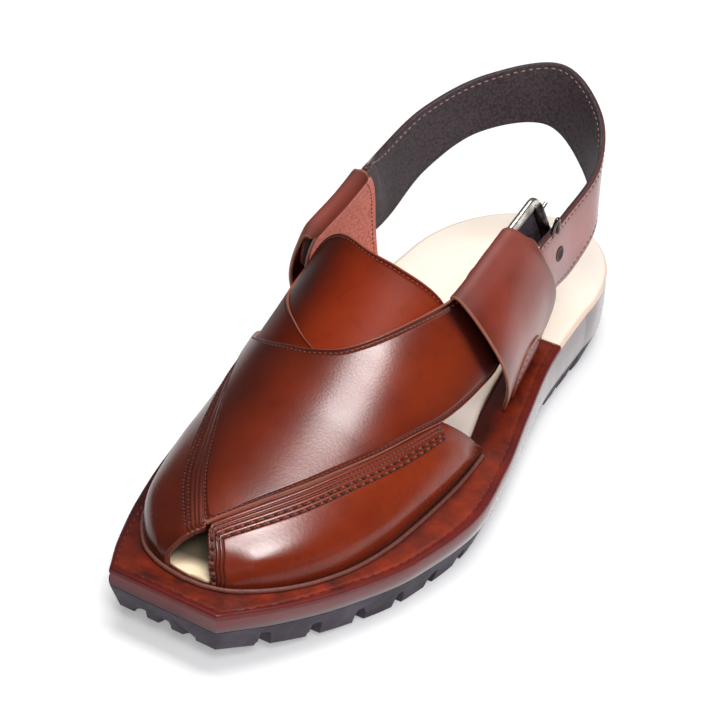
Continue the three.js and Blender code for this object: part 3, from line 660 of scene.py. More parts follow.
def tread_depth(at, x, y, rim_gap):
    """Depth cut into the underside: long grooves, shoulder slots, thin cross cuts and the smooth waist."""
    depth = np.zeros_like(x)
    for start, end in TREAD_FIELDS:
        field = (at > start) & (at < end)
        for share in GROOVE_SHARES:
            swing = share + GROOVE_SWING * ((at - start) / (end - start) - 0.5)
            middle, _ = sole_point(np.clip(at, 0, HEEL_ROUND_AT), swing, 0)
            deep = GROOVE_DEEP * mix(0.5, 1.0, smooth(at, 0.0, GROOVE_FULL_AT))
            depth = np.maximum(depth, field * deep * band(x - middle, GROOVE_WIDE / 2, WIDE_FLANK))
        cross = np.mod(y + CROSS_SLANT * x, CROSS_PITCH) - CROSS_PITCH / 2
        cut = CROSS_DEEP * band(cross, CROSS_HALF, THIN_FLANK) * (rim_gap > CROSS_CLEAR)
        depth = np.maximum(depth, field * cut)
    near_rim = band(rim_gap, SLOT_DEEP, THIN_FLANK)
    for spot in SHOULDER_SLOTS:
        slot = band((at - spot) * SOLE_LENGTH, SLOT_WIDE / 2, WIDE_FLANK)
        depth = np.maximum(depth, SLOT_HIGH * near_rim * slot)
    waist = (at > TREAD_FIELDS[0][1]) & (at < TREAD_FIELDS[1][0])
    return np.where(waist, WAIST_DEEP, depth)


TREAD_TOP_INSET, MIDSOLE_SWELL = 0.5, 0.45


def make_outsole():
    """Outsole: rings from toe to heel; the underside is a height field of the tread, the walls taper in."""
    at, across, up = sole_rings(440, 161)
    x, y = sole_point(at, across, mix(TREAD_TAPER, TREAD_TOP_INSET, up))
    width = rim(1, at)[..., 0] - rim(-1, at)[..., 0]
    rim_gap = np.minimum(across, 1 - across) * width
    floor = sole_floor(at)
    z = np.maximum(mix(floor, sole_joint(at), up), floor + tread_depth(at, x, y, rim_gap) * (up < 1))
    ringed("outsole_tread", np.stack([x, y, z], -1), RUBBER, "outsole", crease=TREAD_CREASE)


def make_midsole():
    """Midsole and heel wedge: rings from toe to heel whose walls swell by a sine between joint and top."""
    at, across, up = sole_rings(300, 9)
    inset = MIDSOLE_SWELL - MIDSOLE_SWELL * np.sin(np.pi * np.clip(up, 0.02, 0.98))
    x, y = sole_point(at, across, inset)
    z = mix(sole_joint(at) + GAP, sole_top(at) - WELT_THICK - GAP, up)
    grid = np.stack([x, y, z], -1)
    ringed("midsole_edge", grid, MIDSOLE_FINISH, "midsole", {"up": up.ravel()})


WELT_TOE_ROW = 2.6
WELT_ROUND, CHANNEL_IN, CHANNEL_DEEP, CHANNEL_HALF, WELT_THREAD_SUNK = 1.0, 3.2, 0.35, 0.55, 0.3


def welt_lines():
    """Outer and inner line of the welt, from the lateral heel seat round the toe to the medial one."""
    share = np.linspace(1, 0, 180)
    toe = np.linspace(0, 1, 42)[1:-1]
    at = share * (SEAT_Y / SOLE_LENGTH + 0.5)
    row = mix(WELT_TOE_ROW, row_at(SEAT_Y), share)
    front = mix(rim(1, np.zeros(1)), rim(-1, np.zeros(1)), toe[:, None])
    toe_row = WELT_TOE_ROW * np.abs(1 - 2 * toe)
    lateral, medial = (foot_line(hand, toe_row, WELT_UNDER) for hand in (1, -1))
    under = np.where((toe < 0.5)[:, None], lateral, medial)
    outer = np.concatenate([rim(1, at), front, rim(-1, at[::-1])])
    inner = np.concatenate([foot_line(1, row, WELT_UNDER), under, foot_line(-1, row[::-1], WELT_UNDER)])
    return outer, inner


def make_welt():
    """Welt: a strip between its outer and inner line, rounded at the rim, with a shallow stitch channel."""
    outer, inner = welt_lines()
    share = 1 - np.cos(np.linspace(0, np.pi / 2, 26))
    flat = mix(outer[:, None], inner[:, None], share[None, :, None])
    wide = np.linalg.norm(outer - inner, axis=-1)[:, None]
    out = share * wide
    level = rim_top(flat[..., 1])
    channel = CHANNEL_DEEP * bell(out, CHANNEL_IN, CHANNEL_HALF)
    top = level - WELT_ROUND * rounded(out, WELT_ROUND) - channel
    points, faces = shell(np.dstack([flat, top]), np.dstack([flat, level - WELT_THICK]))
    marks = {"across": np.tile(share, 2 * len(outer))}
    piece("welt_strip", points, faces, WELT_FINISH, "welt", marks)
    line = mix(outer, inner, CHANNEL_IN / wide)
    path = np.column_stack([line, rim_top(line[:, 1]) - WELT_THREAD_SUNK])
    upwards = np.tile([0.0, 0.0, 1.0], (len(path), 1))
    stitch_row("welt_stitches", path, upwards, WELT_STITCH, WELT_THREAD)


INSOLE_INSET = WELT_UNDER + 5 * GAP
INSOLE_TIP_ROW, INSOLE_TIP_INSET, INSOLE_TIP_RISE, INSOLE_ROUND = 0.05, 0.6, 0.4, 0.6
INSET_ROWS, RISE_ROWS, INSOLE_END = (2.5, 5.0), (3.5, 6.0), 0.999


def make_insole():
    """Insole: inside the welt as far as the heel seat and out to the rim behind it, crowned by a parabola."""
    row = mix(INSOLE_TIP_ROW, row_at(SEAT_Y + GAP), np.linspace(0, 1, 120) ** 1.3)
    inset = mix(INSOLE_TIP_INSET, INSOLE_INSET, smooth(row, *INSET_ROWS))
    heel_start = (SEAT_Y + 2 * GAP) / SOLE_LENGTH + 0.5
    at = mix(heel_start, INSOLE_END, np.sin(np.linspace(0, np.pi / 2, 70)))
    rise = np.concatenate([INSOLE_TIP_RISE * (1 - smooth(row, *RISE_ROWS)), 0 * at])
    heel = [np.stack(sole_point(at, np.full_like(at, share), GAP), -1) for share in (0.0, 1.0)]
    medial = np.concatenate([foot_line(-1, row, inset), heel[0]])
    lateral = np.concatenate([foot_line(1, row, inset), heel[1]])
    share = gathered(46)
    flat = mix(medial[:, None], lateral[:, None], share[None, :, None])
    crown = INSOLE_CROWN * 4 * share * (1 - share)
    level = rim_top(flat[..., 1])
    edge = edge_distance(np.dstack([flat, level]))
    top = level + crown[None] + rise[:, None] - INSOLE_ROUND * rounded(edge, INSOLE_ROUND)
    points, faces = shell(np.dstack([flat, top]), np.dstack([flat, level - WELT_THICK]))
    piece("insole_bed", points, faces, CREAM, "insole", {"edge": np.tile(edge.ravel(), 2)})


# Upper: panels of leather laid over the last
def edge_curve(marks):
    """Curve through marks of y and v on the last: a Catmull-Rom spline walked at an even pace."""
    marks = np.array(marks, float)
    knots = np.stack([row_at(marks[:, 0]) * SKETCH_ROW, marks[:, 1] * SKETCH_V], -1)
    t = np.linspace(0, len(knots) - 1, 601)
    i = np.minimum(t.astype(int), len(knots) - 2)
    w = (t - i)[:, None]
    p0, p1, p2, p3 = (knots[np.clip(i + k, 0, len(knots) - 1)] for k in (-1, 0, 1, 2))
    v0, v1 = (p2 - p0) / 2, (p3 - p1) / 2
    line = (2 * p1 - 2 * p2 + v0 + v1) * w ** 3 + (-3 * p1 + 3 * p2 - 2 * v0 - v1) * w ** 2 + v0 * w + p1
    length = arc_length(line)
    share = length / length[-1]
    return lambda s: along_line(s, share, line)


def sketch_point(sketch, lift):
    """Point above the last at a place on its sketch."""
    return last_point(sketch[..., 0] / SKETCH_ROW, sketch[..., 1] / SKETCH_V, lift)


class Panel:
    """Panel of leather: a Coons patch between four edges drawn on the last."""

    def __init__(self, front, rear, medial, lateral):
        self.edges = [edge_curve(marks) for marks in (front, rear, medial, lateral)]

    def sketch(self, a, b):
        """Place on the sketch at a from front to rear and b from medial to lateral."""
        front, rear, medial, lateral = self.edges
        s, t = a[..., None], b[..., None]
        corner = [[edge(np.array(end)) for end in (0.0, 1.0)] for edge in (front, rear)]
        return ((1 - s) * front(b) + s * rear(b) + (1 - t) * medial(a) + t * lateral(a)
                - (1 - s) * (1 - t) * corner[0][0] - (1 - s) * t * corner[0][1]
                - s * (1 - t) * corner[1][0] - s * t * corner[1][1])

    def point(self, a, b, lift):
        """Point of the panel above the last."""
        return sketch_point(self.sketch(a, b), lift)


def mirrored(marks):
    """Marks on the other side of the last."""
    return [(y, -v) for y, v in marks]


VAMP_SIDE = [(-118.4, 0.02), (-106, 0.18), (-90, 0.31), (-73.5, 0.41), (-47, 0.56), (-31, 0.64)]
TOE_TOP = [(-112, 0.06), (-92, 0.19), (-70, 0.33), (-47, 0.46), (-38, 0.54)]
TOE_REAR = [(-38, 0.54), (-29, 0.69), (-16, 0.87), (-8, 0.96), (-7, 1)]
TOE_FOOT = [(-126, 1), (-116, 1), (-88, 1), (-50, 1), (-7, 1)]
PEEP_LATERAL = [(-112, 0.06), (-119.8, 0.05), (-126.4, 0.174), (-130.1, 0.383), (-131, 0.82), (-131.2, 1)]
PEEP_MEDIAL = [
    (-112, -0.06), (-119.5, 0.02), (-122.5, -0.06), (-125.3, -0.19), (-127.7, -0.38), (-129.3, -0.76),
    (-129.6, -1),
]
VAMP_REAR = [
    (-16, -0.72), (-28.7, -0.6), (-38, -0.42), (-42.3, -0.22), (-42.5, -0.08), (-38, 0.07),
    (-22.4, 0.23), (-0.6, 0.383), (14, 0.44), (22, 0.6),
]
BAND_REAR = [
    (-50, 0.15), (-40, -0.146), (-30, -0.32), (-19.5, -0.45), (-8, -0.56), (2, -0.63), (12, -0.66),
    (22, -0.68),
]
TONGUE_REAR = [
    (2, -0.64), (8.5, -0.6), (9.5, -0.5), (6.5, -0.36), (-1.8, -0.11), (-4, 0.11), (-3, 0.34), (-5, 0.42),
]

VAMP = Panel([(-118.4, -0.02), (-118.4, 0.02)], VAMP_REAR, mirrored(VAMP_SIDE) + [(-16, -0.72)],
             VAMP_SIDE + [(-9, 0.7), (14, 0.74), (22, 0.6)])
MEDIAL_BAND = Panel([(-52, -0.5), (-50, 0.15)], [(22, -0.8), (22, -0.68)],
                    [(-52, -0.5), (-31, -0.65), (-9, -0.75), (12, -0.81), (22, -0.8)], BAND_REAR)
TONGUE = Panel([(-60, -0.3), (-60, 0.3)], TONGUE_REAR, [(-60, -0.3), (-30, -0.5), (2, -0.64)],
               [(-60, 0.3), (-30, 0.45), (-5, 0.42)])
LATERAL_TOE = Panel(PEEP_LATERAL, TOE_REAR, TOE_TOP, PEEP_LATERAL[-1:] + TOE_FOOT)
MEDIAL_TOE = Panel(PEEP_MEDIAL[::-1], mirrored(TOE_REAR)[::-1], PEEP_MEDIAL[-1:] + mirrored(TOE_FOOT),
                   mirrored(TOE_TOP))
TOE_OUT = 2.2
TONGUE_LIFTS, TOE_LIFTS, BAND_LIFTS, VAMP_LIFTS = (-0.4, 1.0), (0.2, TOE_OUT), (0.4, 1.8), (1.5, 3.3)
NO_SEAM = 99.0


def leather_marks(edge, burnish_and_shade=0.0, line=NO_SEAM, matte=0.0, back_shade=None):
    """Marks of a leather sheet's two faces: distance from the cut edge, burnish and painted shade, seams and
    dullness.
    """
    edge, burnish_and_shade, line, matte = np.broadcast_arrays(edge, burnish_and_shade, line, matte)
    inner = burnish_and_shade if back_shade is None else np.broadcast_to(back_shade, edge.shape)
    both = {"edge": (edge, edge), "burnish_and_shade": (burnish_and_shade, inner), "line": (line, line), "matte": (matte, matte)}
    return {name: np.concatenate([values[0].ravel(), values[1].ravel()]) for name, values in both.items()}


EDGE_ROUND = 0.9


def panel_piece(name, panel, lifts, steps, finish, burnish_and_shade, relief=None, line=None):
    """Panel with a real wall: its outer face drops in a quarter round at the cut edge, plus any relief."""
    inner, outer = lifts
    a, b = np.meshgrid(gathered(steps[0]), gathered(steps[1]), indexing="ij")
    flat = panel.point(a, b, outer)
    edge = edge_distance(flat)
    seams = line(flat) if line else edge
    lift = outer - EDGE_ROUND * rounded(edge, EDGE_ROUND)
    if relief:
        lift = lift + relief(edge, flat)
    points, faces = shell(panel.point(a, b, lift), panel.point(a, b, inner))
    marks = leather_marks(edge, burnish_and_shade(panel.sketch(a, b)), seams)
    piece(name, points, faces, finish, "upper", marks)


FOLD_FROM, FOLD_TO, FOLD_STEP, BEAD_IN, BEAD_HALF, BEAD_HIGH = 2.6, 3.3, 0.35, 0.9, 0.55, 0.3


def folded_edge(edge, _):
    """Folded edge: a strip 3 mm wide that lies a step lower, with a rounded bead along the cut."""
    step = FOLD_STEP * (1 - smooth(edge, FOLD_FROM, FOLD_TO))
    return BEAD_HIGH * bell(edge, BEAD_IN, BEAD_HALF) - step


def seam(name, sketch, lift, stitch, thread, phase=0.0):
    """Stitches along a line drawn on the last."""
    path = sketch_point(sketch, lift)
    normals = unit(sketch_point(sketch, lift + 1.0) - path)
    stitch_row(name, path, normals, stitch, thread, phase)


INSIDE_LIFT = 2.0


def inside_edge(panel, edge_name, inset, start, end, count=160):
    """Line of a panel at an even distance inside one of its edges."""
    place = np.linspace(start, end, count)
    far = edge_name in ("rear", "lateral")

    def shares(depth):
        """Shares a and b of the panel at a depth inside the edge."""
        inside, along = np.broadcast_arrays(np.abs(far - depth), place)
        return (inside, along) if edge_name in ("front", "rear") else (along, inside)

    across = panel.point(*shares(np.linspace(0, 1, 60)[:, None]), INSIDE_LIFT)
    return panel.sketch(*shares(inset / np.maximum(arc_length(across)[-1], inset * 2)))


FRONT_ROWS = 0.68
OUTER_ROW = [(-121.9, 0.178), (-103.2, 0.371), (-79.4, 0.495), (-50.5, 0.635), (-32.5, 0.707)]


def hand_curve(marks, hand):
    """Curve through marks of the lateral side, or of the medial one where hand is -1."""
    return edge_curve([(y, hand * v) for y, v in marks])


def nearest(points, path):
    """Distance from each point of a grid to the nearest mark of a path, and the share of the path there."""
    flat = points.reshape(-1, 3)
    square = (flat ** 2).sum(-1)[:, None] + (path ** 2).sum(-1)[None] - 2 * flat @ path.T
    best = square.argmin(1)
    away = np.sqrt(np.maximum(square[np.arange(len(flat)), best], 0))
    return away.reshape(points.shape[:2]), (best / (len(path) - 1)).reshape(points.shape[:2])


PLAIN_LIP, LIP_CLEAR, PAST_ROWS = 30.0, 1.4, 20.0
ROWS_FADE, ROWS_END = 0.97, 0.985


def toe_bands(panel, hand):
    """Distances of points from the vamp's edge, scaled to 7.5 at the last row, and from the peep toe.

    The third value grows past the rear end of the vamp's edge, where the rows stop.
    """
    share = np.linspace(0, 1, 300)
    curves = (hand_curve(marks, hand) for marks in (VAMP_SIDE, OUTER_ROW))
    vamp_edge, outer_edge = (sketch_point(curve(share), TOE_OUT) for curve in curves)
    wide = np.linalg.norm(outer_edge - vamp_edge, axis=-1)
    front = panel.point(0 * share, share, TOE_OUT)

    def bands(points):
        away, at = nearest(points, vamp_edge)
        beside = away * TOE_ROWS[-1] / np.interp(at, share, wide)
        ahead = nearest(points, front)[0] / FRONT_ROWS + PLAIN_LIP * (hand < 0)
        return beside, ahead, PAST_ROWS * smooth(at, ROWS_FADE, 1.0)

    return bands


def toe_line(bands):
    """Place of a point among the rows of stitches."""
    def line(points):
        beside, ahead, past = bands(points)
        return np.minimum(beside + past, ahead)

    return line


TOE_PUFF, PUFF_SPAN, PUFF_EDGE_SPAN = 1.4, (8.0, 24.0), (1.5, 12.0)
ROW_LIFT, ROW_GAP_LIFT = 2.12, 2.15


def toe_relief(bands):
    """Stuffed toe panel: it swells beyond the stitched band and sinks again towards its borders."""
    def relief(edge, points):
        beside, ahead, _ = bands(points)
        beyond = smooth(beside, *PUFF_SPAN) * smooth(ahead, *PUFF_SPAN)
        return TOE_PUFF * beyond * smooth(edge, *PUFF_EDGE_SPAN)

    return relief


def toe_rows(panel, hand, name):
    """Four rows of stitches on a toe panel beside the vamp's edge.

    The lateral rows turn down beside the peep toe, and the medial ones end at its lip.
    """
    share = np.linspace(0, ROWS_END, 240)
    turned = hand > 0
    span, beads = ((0.05, 0.9), ROSE_THREAD) if turned else ((0.95, 0.1), WELT_THREAD)
    vamp_edge, outer_edge = (hand_curve(marks, hand)(share) for marks in (VAMP_SIDE, OUTER_ROW))
    for index, inset in enumerate(TOE_ROWS):
        side = mix(vamp_edge, outer_edge, inset / TOE_ROWS[-1])
        down = inside_edge(panel, "front", inset * FRONT_ROWS if turned else LIP_CLEAR, *span, count=200)
        way = sketch_point(side, TOE_OUT)[:, None] - sketch_point(down, TOE_OUT)[None]
        gap = np.linalg.norm(way, axis=-1)
        i, j = np.unravel_index(np.argmin(gap), gap.shape)
        line = np.concatenate([side[:i:-1], down[j:]]) if turned else side[:i:-1]
        row = f"{name}_row_{index + 1}"
        if index < 2:
            seam(row, line, ROW_LIFT, TOE_STITCH, beads)
        else:
            seam(row + "_gaps", line, ROW_GAP_LIFT, TOE_GAP, DARK_THREAD)
            seam(row + "_beads", line, TOE_OUT, TOE_BEAD, beads, 0.5)


def side_shade(sketch):
    """Painted shade that deepens from the ridge down the medial side, and a little darkening down the lateral
    one.
    """
    v = sketch[..., 1] / SKETCH_V
    return 0.75 * smooth(-v, -0.08, 0.4) + 0.25 * smooth(v, 0.35, 0.8)


def vamp_shade(sketch):
    """Painted shade of the vamp: that of its sides, and almost black where its lateral ear goes in under the
    wing.
    """
    row, v = sketch[..., 0] / SKETCH_ROW, sketch[..., 1] / SKETCH_V
    wing = WINGS[0]
    ahead = wing_front(wing, (1 - v) / (1 - wing["top_front"])) - last_column["y"](row)
    return side_shade(sketch) + 1.2 * (1 - smooth(ahead, 0.5, 7.0)) * smooth(v, 0.25, 0.42)


def toe_burnish_and_shade(sketch):
    """Darkening of the toe panels: painted shade all over the medial one, and painted shade of the groove at
    the welt, with some burnish, along the foot.
    """
    v = sketch[..., 1] / SKETCH_V
    return 0.7 * smooth(-v, 0.0, 0.3) + 0.7 * smooth(np.abs(v), 0.86, 1.0)


def tongue_shade(sketch):
    """Painted shade of the tongue, deep only where it goes in under the medial band."""
    return 0.9 * smooth(-sketch[..., 1] / SKETCH_V, 0.04, 0.44)


CORD_RADIUS, CORD_RISE, CORD_REAR_Y = 0.85, 0.68, -8.0
SEAM_SUNK = 0.32


def make_panels():
    """Panels from the lowest layer up, with their seams and the cord along the toe panels' foot."""
    panel_piece("tongue", TONGUE, TONGUE_LIFTS, (90, 90), TONGUE_COGNAC, tongue_shade, folded_edge)
    for panel, hand, name in ((LATERAL_TOE, 1, "toe_panel_lateral"), (MEDIAL_TOE, -1, "toe_panel_medial")):
        bands = toe_bands(panel, hand)
        relief, line = toe_relief(bands), toe_line(bands)
        panel_piece(name, panel, TOE_LIFTS, (160, 100), TOE_COGNAC, toe_burnish_and_shade, relief, line)
        toe_rows(panel, hand, name)
    panel_piece("band_medial", MEDIAL_BAND, BAND_LIFTS, (100, 50), TONGUE_COGNAC, side_shade)
    panel_piece("vamp", VAMP, VAMP_LIFTS, (190, 150), COGNAC, vamp_shade, folded_edge)
    for edge_name, start, end in (("rear", 0.03, 0.93), ("lateral", 0.04, 0.95), ("medial", 0.04, 0.97)):
        line = inside_edge(VAMP, edge_name, SEAM_IN, start, end, 260)
        seam(f"vamp_{edge_name}_seam", line, VAMP_LIFTS[1] - SEAM_SUNK, FINE_STITCH, ROSE_THREAD)
    line = inside_edge(TONGUE, "rear", SEAM_IN, 0.05, 0.97, 200)
    seam("tongue_seam", line, TONGUE_LIFTS[1] - SEAM_SUNK, FINE_STITCH, ROSE_THREAD)
    make_cord()


def make_cord():
    """Feather cord: a thin round cord on the welt that follows the foot of both toe panels."""
    row = np.linspace(row_at(CORD_REAR_Y), 0, 220)
    lateral = last_point(row, 1.0, TOE_OUT + CORD_RADIUS)
    medial = last_point(row[::-1], -1.0, TOE_OUT + CORD_RADIUS)
    path = np.concatenate([lateral, medial])
    path[:, 2] = rim_top(path[:, 1]) + CORD_RISE
    rod("feather_cord", path, CORD_RADIUS, 10, CORD_FINISH)


# Wings
WING_LEATHER_THICK, WING_SLOT, WING_FOLD_RISE, WING_SWELL_UNTIL = 1.5, 3.8, 0.0528, 0.62
# The last value darkens the wings' back faces: painted shade inside each loop
WING_EDGE_ROUND, WING_BORDER_DRAW, WING_INSIDE_SHADE = 0.8, 0.92, 0.95
WING_REAR_CURVE, WING_CORNER_FROM, WING_LEAN_SPAN = 1.2, 0.78, (0.1, 0.7)
WING_LEG_FROM, WING_CREST_FROM, WING_PINCH_SPAN = 0.6, 0.84, (-0.05, 0.22)
WING_FOOT_FRONT_Y, WING_FOOT_REACH = 19.0, 25.0
WING_FULL = 2 * WING_LEATHER_THICK + WING_SLOT
WING_KEYS = "hand inner front_y rear_y rear_bow leg_foot top_front top_rear top_corner lean_front lean_rear"
WINGS = columns(WING_KEYS, [
    (1, 2.6, -3.0, 36.0, 0.0, 0.3, 0.4, 0.53, 0.08, 0.0, 0.0),
    (-1, 1.1, 10.5, 31.0, 8.0, 0.12, 0.565, 0.5, 0.0, 2.0, -4.0),
])


def wing_front(wing, q):
    """Place of a wing's front edge, which runs back towards the welt."""
    return wing["front_y"] + (WING_FOOT_FRONT_Y - wing["front_y"]) * np.clip(1 - q, -0.1, 1) ** 3


def wing_point(wing, p, q, lift):
    """Point of a wing: p runs from front to rear, q from the welt to the fold, lift above its inner face.

    Its upper part leans away from the last, and its rear edge bows back between the welt and the fold.
    """
    below = np.maximum(0, 1 - q)
    rear = wing["rear_y"] + WING_FOOT_REACH * below ** WING_REAR_CURVE + wing["rear_bow"] * 4 * q * below
    top = mix(wing["top_front"], wing["top_rear"], p) + wing["top_corner"] * smooth(p, WING_CORNER_FROM, 1.0)
    lean = mix(wing["lean_front"], wing["lean_rear"], p) * smooth(q, *WING_LEAN_SPAN)
    row = row_at(mix(wing_front(wing, q), rear, p))
    return last_point(row, wing["hand"] * mix(1, top, q), wing["inner"] + lean + lift)


def wing_swell(q):
    """Way of a wing's outer leg off its inner one: none at the welt, the loop's full depth further up."""
    return (WING_FULL - WING_LEATHER_THICK) * smooth(q, 0.0, WING_SWELL_UNTIL)


def sheet_faces(middle, half, edge_round):
    """Both faces of a sheet round its middle surface, drawn together in a half round at the border."""
    edge = edge_distance(middle)
    normal = unit(np.cross(np.gradient(middle, axis=0), np.gradient(middle, axis=1)))
    reach = half * np.sqrt(1 - WING_BORDER_DRAW * np.clip(1 - edge / edge_round, 0, 1) ** 2)
    return middle + normal * reach[..., None], middle - normal * reach[..., None], edge


def make_wing(wing, name, pinch, set_back):
    """Wing: one band that rises from the welt, folds over at the top and comes down inside as a loop.

    The loop narrows to the pinch share at its front, and its inner leg starts further back by set_back.
    """
    half = WING_LEATHER_THICK / 2
    rise = np.linspace(0, 1, 70)
    turn = np.linspace(0, np.pi, 22)[1:-1]
    inside = np.linspace(1, wing["leg_foot"], 52)
    fold = WING_FULL / 2 + (WING_FULL / 2 - half) * np.cos(turn)
    q = np.concatenate([rise, 1 + WING_FOLD_RISE * np.sin(turn), inside])[None]
    lift = np.concatenate([half + wing_swell(rise), fold, 0 * inside + half])[None]
    leg = np.concatenate([0 * rise, smooth(turn, WING_LEG_FROM * np.pi, np.pi), 0 * inside + 1])[None]
    crest = np.concatenate([smooth(rise, WING_CREST_FROM, 1.0), 0 * turn + 1, 0 * inside])[None]
    p = mix(set_back * leg, 1.0, gathered(64)[:, None])
    narrow = mix(pinch, 1.0, smooth(p, *WING_PINCH_SPAN))
    middle = wing_point(wing, p, q, half + (lift - half) * narrow)
    front, back, edge = sheet_faces(middle, half * wing["hand"], WING_EDGE_ROUND)
    points, faces = shell(front, back)
    marks = leather_marks(edge, matte=crest, back_shade=WING_INSIDE_SHADE)
    piece(name, points, faces, WING_LEATHER, "upper", marks)
    make_wing_lining(wing, name + "_lining", set_back)
    make_half_moon(wing, name + "_half_moon")


WING_LINING_THICK, WING_SEAM_IN, LINING_ROUND, LINING_BED = 0.5, 2.6, 0.45, 0.1


def make_wing_lining(wing, name, set_back):
    """Grained lining on the foot side of a wing's inner leg, with a seam along its rear edge."""
    start, end = set_back + 0.02, 0.985
    height = np.linspace(wing["leg_foot"] + 0.02, 1.01, 50)
    p, q = np.meshgrid(mix(start, end, gathered(50)), height, indexing="ij")
    edge = edge_distance(wing_point(wing, p, q, 0.0))
    face = LINING_ROUND * rounded(edge, LINING_ROUND) - WING_LINING_THICK
    points, faces = shell(wing_point(wing, p, q, LINING_BED), wing_point(wing, p, q, face))
    piece(name, points, faces, WING_LINING, "upper")
    q = np.linspace(wing["leg_foot"] + 0.04, 0.97, 100)
    wide = np.linalg.norm(wing_point(wing, end, q, 0.0) - wing_point(wing, start, q, 0.0), axis=-1)
    p = end - (end - start) * WING_SEAM_IN / wide
    path = wing_point(wing, p, q, -WING_LINING_THICK)
    normals = unit(path - wing_point(wing, p, q, 0.5))
    stitch_row(name + "_seam", path, normals, WING_STITCH, DARK_THREAD)


PATCH_WIDE, PATCH_HIGH, PATCH_FOOT, PATCH_ARC, PATCH_SEAM = 0.62, 0.3, 0.02, 0.97, 0.86
PATCH_SUNK, PATCH_PROUD, PATCH_ROUND = 0.6, 0.8, 0.7


def make_half_moon(wing, name):
    """Half-moon patch on a wing's foot: its height follows half an ellipse, with a seam inside the arc."""
    a, b = np.meshgrid(gathered(60), gathered(26), indexing="ij")

    def spot(a, b, lift):
        q = PATCH_FOOT + PATCH_HIGH * b * np.sqrt(1 - PATCH_ARC * (2 * a - 1) ** 2)
        return wing_point(wing, 0.5 + (a - 0.5) * PATCH_WIDE, q, WING_LEATHER_THICK + wing_swell(q) + lift)

    edge = edge_distance(spot(a, b, PATCH_PROUD))
    lift = PATCH_PROUD - PATCH_ROUND * rounded(edge, PATCH_ROUND)
    points, faces = shell(spot(a, b, lift), spot(a, b, -PATCH_SUNK))
    piece(name, points, faces, WING_LEATHER, "upper", leather_marks(edge))
    along = np.linspace(0.06, 0.94, 120)
    path = spot(along, PATCH_SEAM, PATCH_PROUD)
    normals = unit(spot(along, PATCH_SEAM, PATCH_PROUD + 1) - path)
    stitch_row(name + "_seam", path, normals, PATCH_STITCH, DARK_THREAD)


# Heel strap and buckle
STRAP_THICK, STRAP_LOW_Q, STRAP_HIGH_Q = 2.4, 0.61, 0.94
STRAP_DROP, STRAP_RISE = (0.32, 0.13), (0.0, 0.01)
STRAP_DROP_SPAN, STRAP_RISE_SPAN, STRAP_SEAM_SPAN = (0.5, 1.05), (0.8, 1.08), (0.06, 0.94)
STRAP_IN_LOOP = (0.15, 0.4, 0.65, 0.85, 1.0, 1.08)
STRAP_BACK = columns("low_x low_y low_z high_x high_y high_z", [
    (-43, 67, 56.5, -47, 62, 84), (-41.5, 90, 65.5, -45, 93, 90), (-31, 112, 75.5, -32, 118, 97.5),
    (-8.5, 124, 81, -8.5, 132, 103.5), (14, 112, 75, 15, 118, 98), (30.5, 90, 67, 28, 93, 90),
    (33.5, 66, 60, 30, 64, 84),
])


def strap_stations():
    """Lower, middle and upper line of the strap at its stations, from the medial loop to the lateral one."""
    middle = WING_LEATHER_THICK + WING_SLOT / 2
    p = np.array(STRAP_IN_LOOP)[:, None]
    loops = []
    for wing, drop, lift in zip(WINGS[::-1], STRAP_DROP, STRAP_RISE):
        low = STRAP_LOW_Q - drop * smooth(p, *STRAP_DROP_SPAN)
        high = STRAP_HIGH_Q + lift * smooth(p, *STRAP_RISE_SPAN)
        q = np.concatenate([low, (low + high) / 2, high], 1)
        loops.append(wing_point(wing, p, q, middle))
    low, high = (np.stack([STRAP_BACK[f"{end}_{axis}"] for axis in "xyz"], -1) for end in ("low", "high"))
    back = np.stack([low, (low + high) / 2, high], 1)
    return np.concatenate([loops[0], back, loops[1][:0:-1]])


def centripetal(knots, t):
    """Centripetal Catmull-Rom curve through knots at shares t, with the end knots carried on straight."""
    full = np.concatenate([2 * knots[:1] - knots[1:2], knots, 2 * knots[-1:] - knots[-2:-1]])
    s = np.clip(t, 0, 1) * (len(knots) - 1)
    i = np.minimum(s.astype(int), len(knots) - 2)
    w = (s - i)[..., None]
    x0, x1, x2, x3 = (full[i + k] for k in range(4))
    steps = (np.linalg.norm(step, axis=-1) for step in (x1 - x0, x2 - x1, x3 - x2))
    d0, d1, d2 = (np.sqrt(np.maximum(step, 1e-6))[..., None] for step in steps)
    m1 = ((x1 - x0) / d0 - (x2 - x0) / (d0 + d1) + (x2 - x1) / d1) * d1
    m2 = ((x2 - x1) / d1 - (x3 - x1) / (d1 + d2) + (x3 - x2) / d2) * d1
    return x1 + m1 * w + (-3 * x1 + 3 * x2 - 2 * m1 - m2) * w ** 2 + (2 * x1 - 2 * x2 + m1 + m2) * w ** 3


STATIONS = strap_stations()
STRAP_PROBE = 0.005
STRAP_ROUND, STRAP_OUTER_DROP, STRAP_INNER_DROP, STRAP_LAYER_GAP = 0.9, 0.8, 0.7, 0.05
STRAP_SEAM_IN, STRAP_CHANNEL_DEEP, STRAP_CHANNEL_HALF, STRAP_THREAD_SUNK = 2.2, 0.16, 0.45, 0.12


def strap_point(a, b, lift):
    """Strap: a parabola across three lines carried along it, lifted along the normal."""
    a, b, lift = np.broadcast_arrays(a, b, lift)
    t = b[..., None]

    def at(share):
        """Point of the strap, and the way from its lower to its upper edge."""
        low, mid, high = (centripetal(STATIONS[:, k], share) for k in range(3))
        return low * (1 - t) * (1 - 2 * t) + mid * 4 * t * (1 - t) + high * t * (2 * t - 1), high - low

    point, up = at(a)
    along = at(a + STRAP_PROBE)[0] - at(a - STRAP_PROBE)[0]
    return point + lift[..., None] * unit(np.cross(up, along))


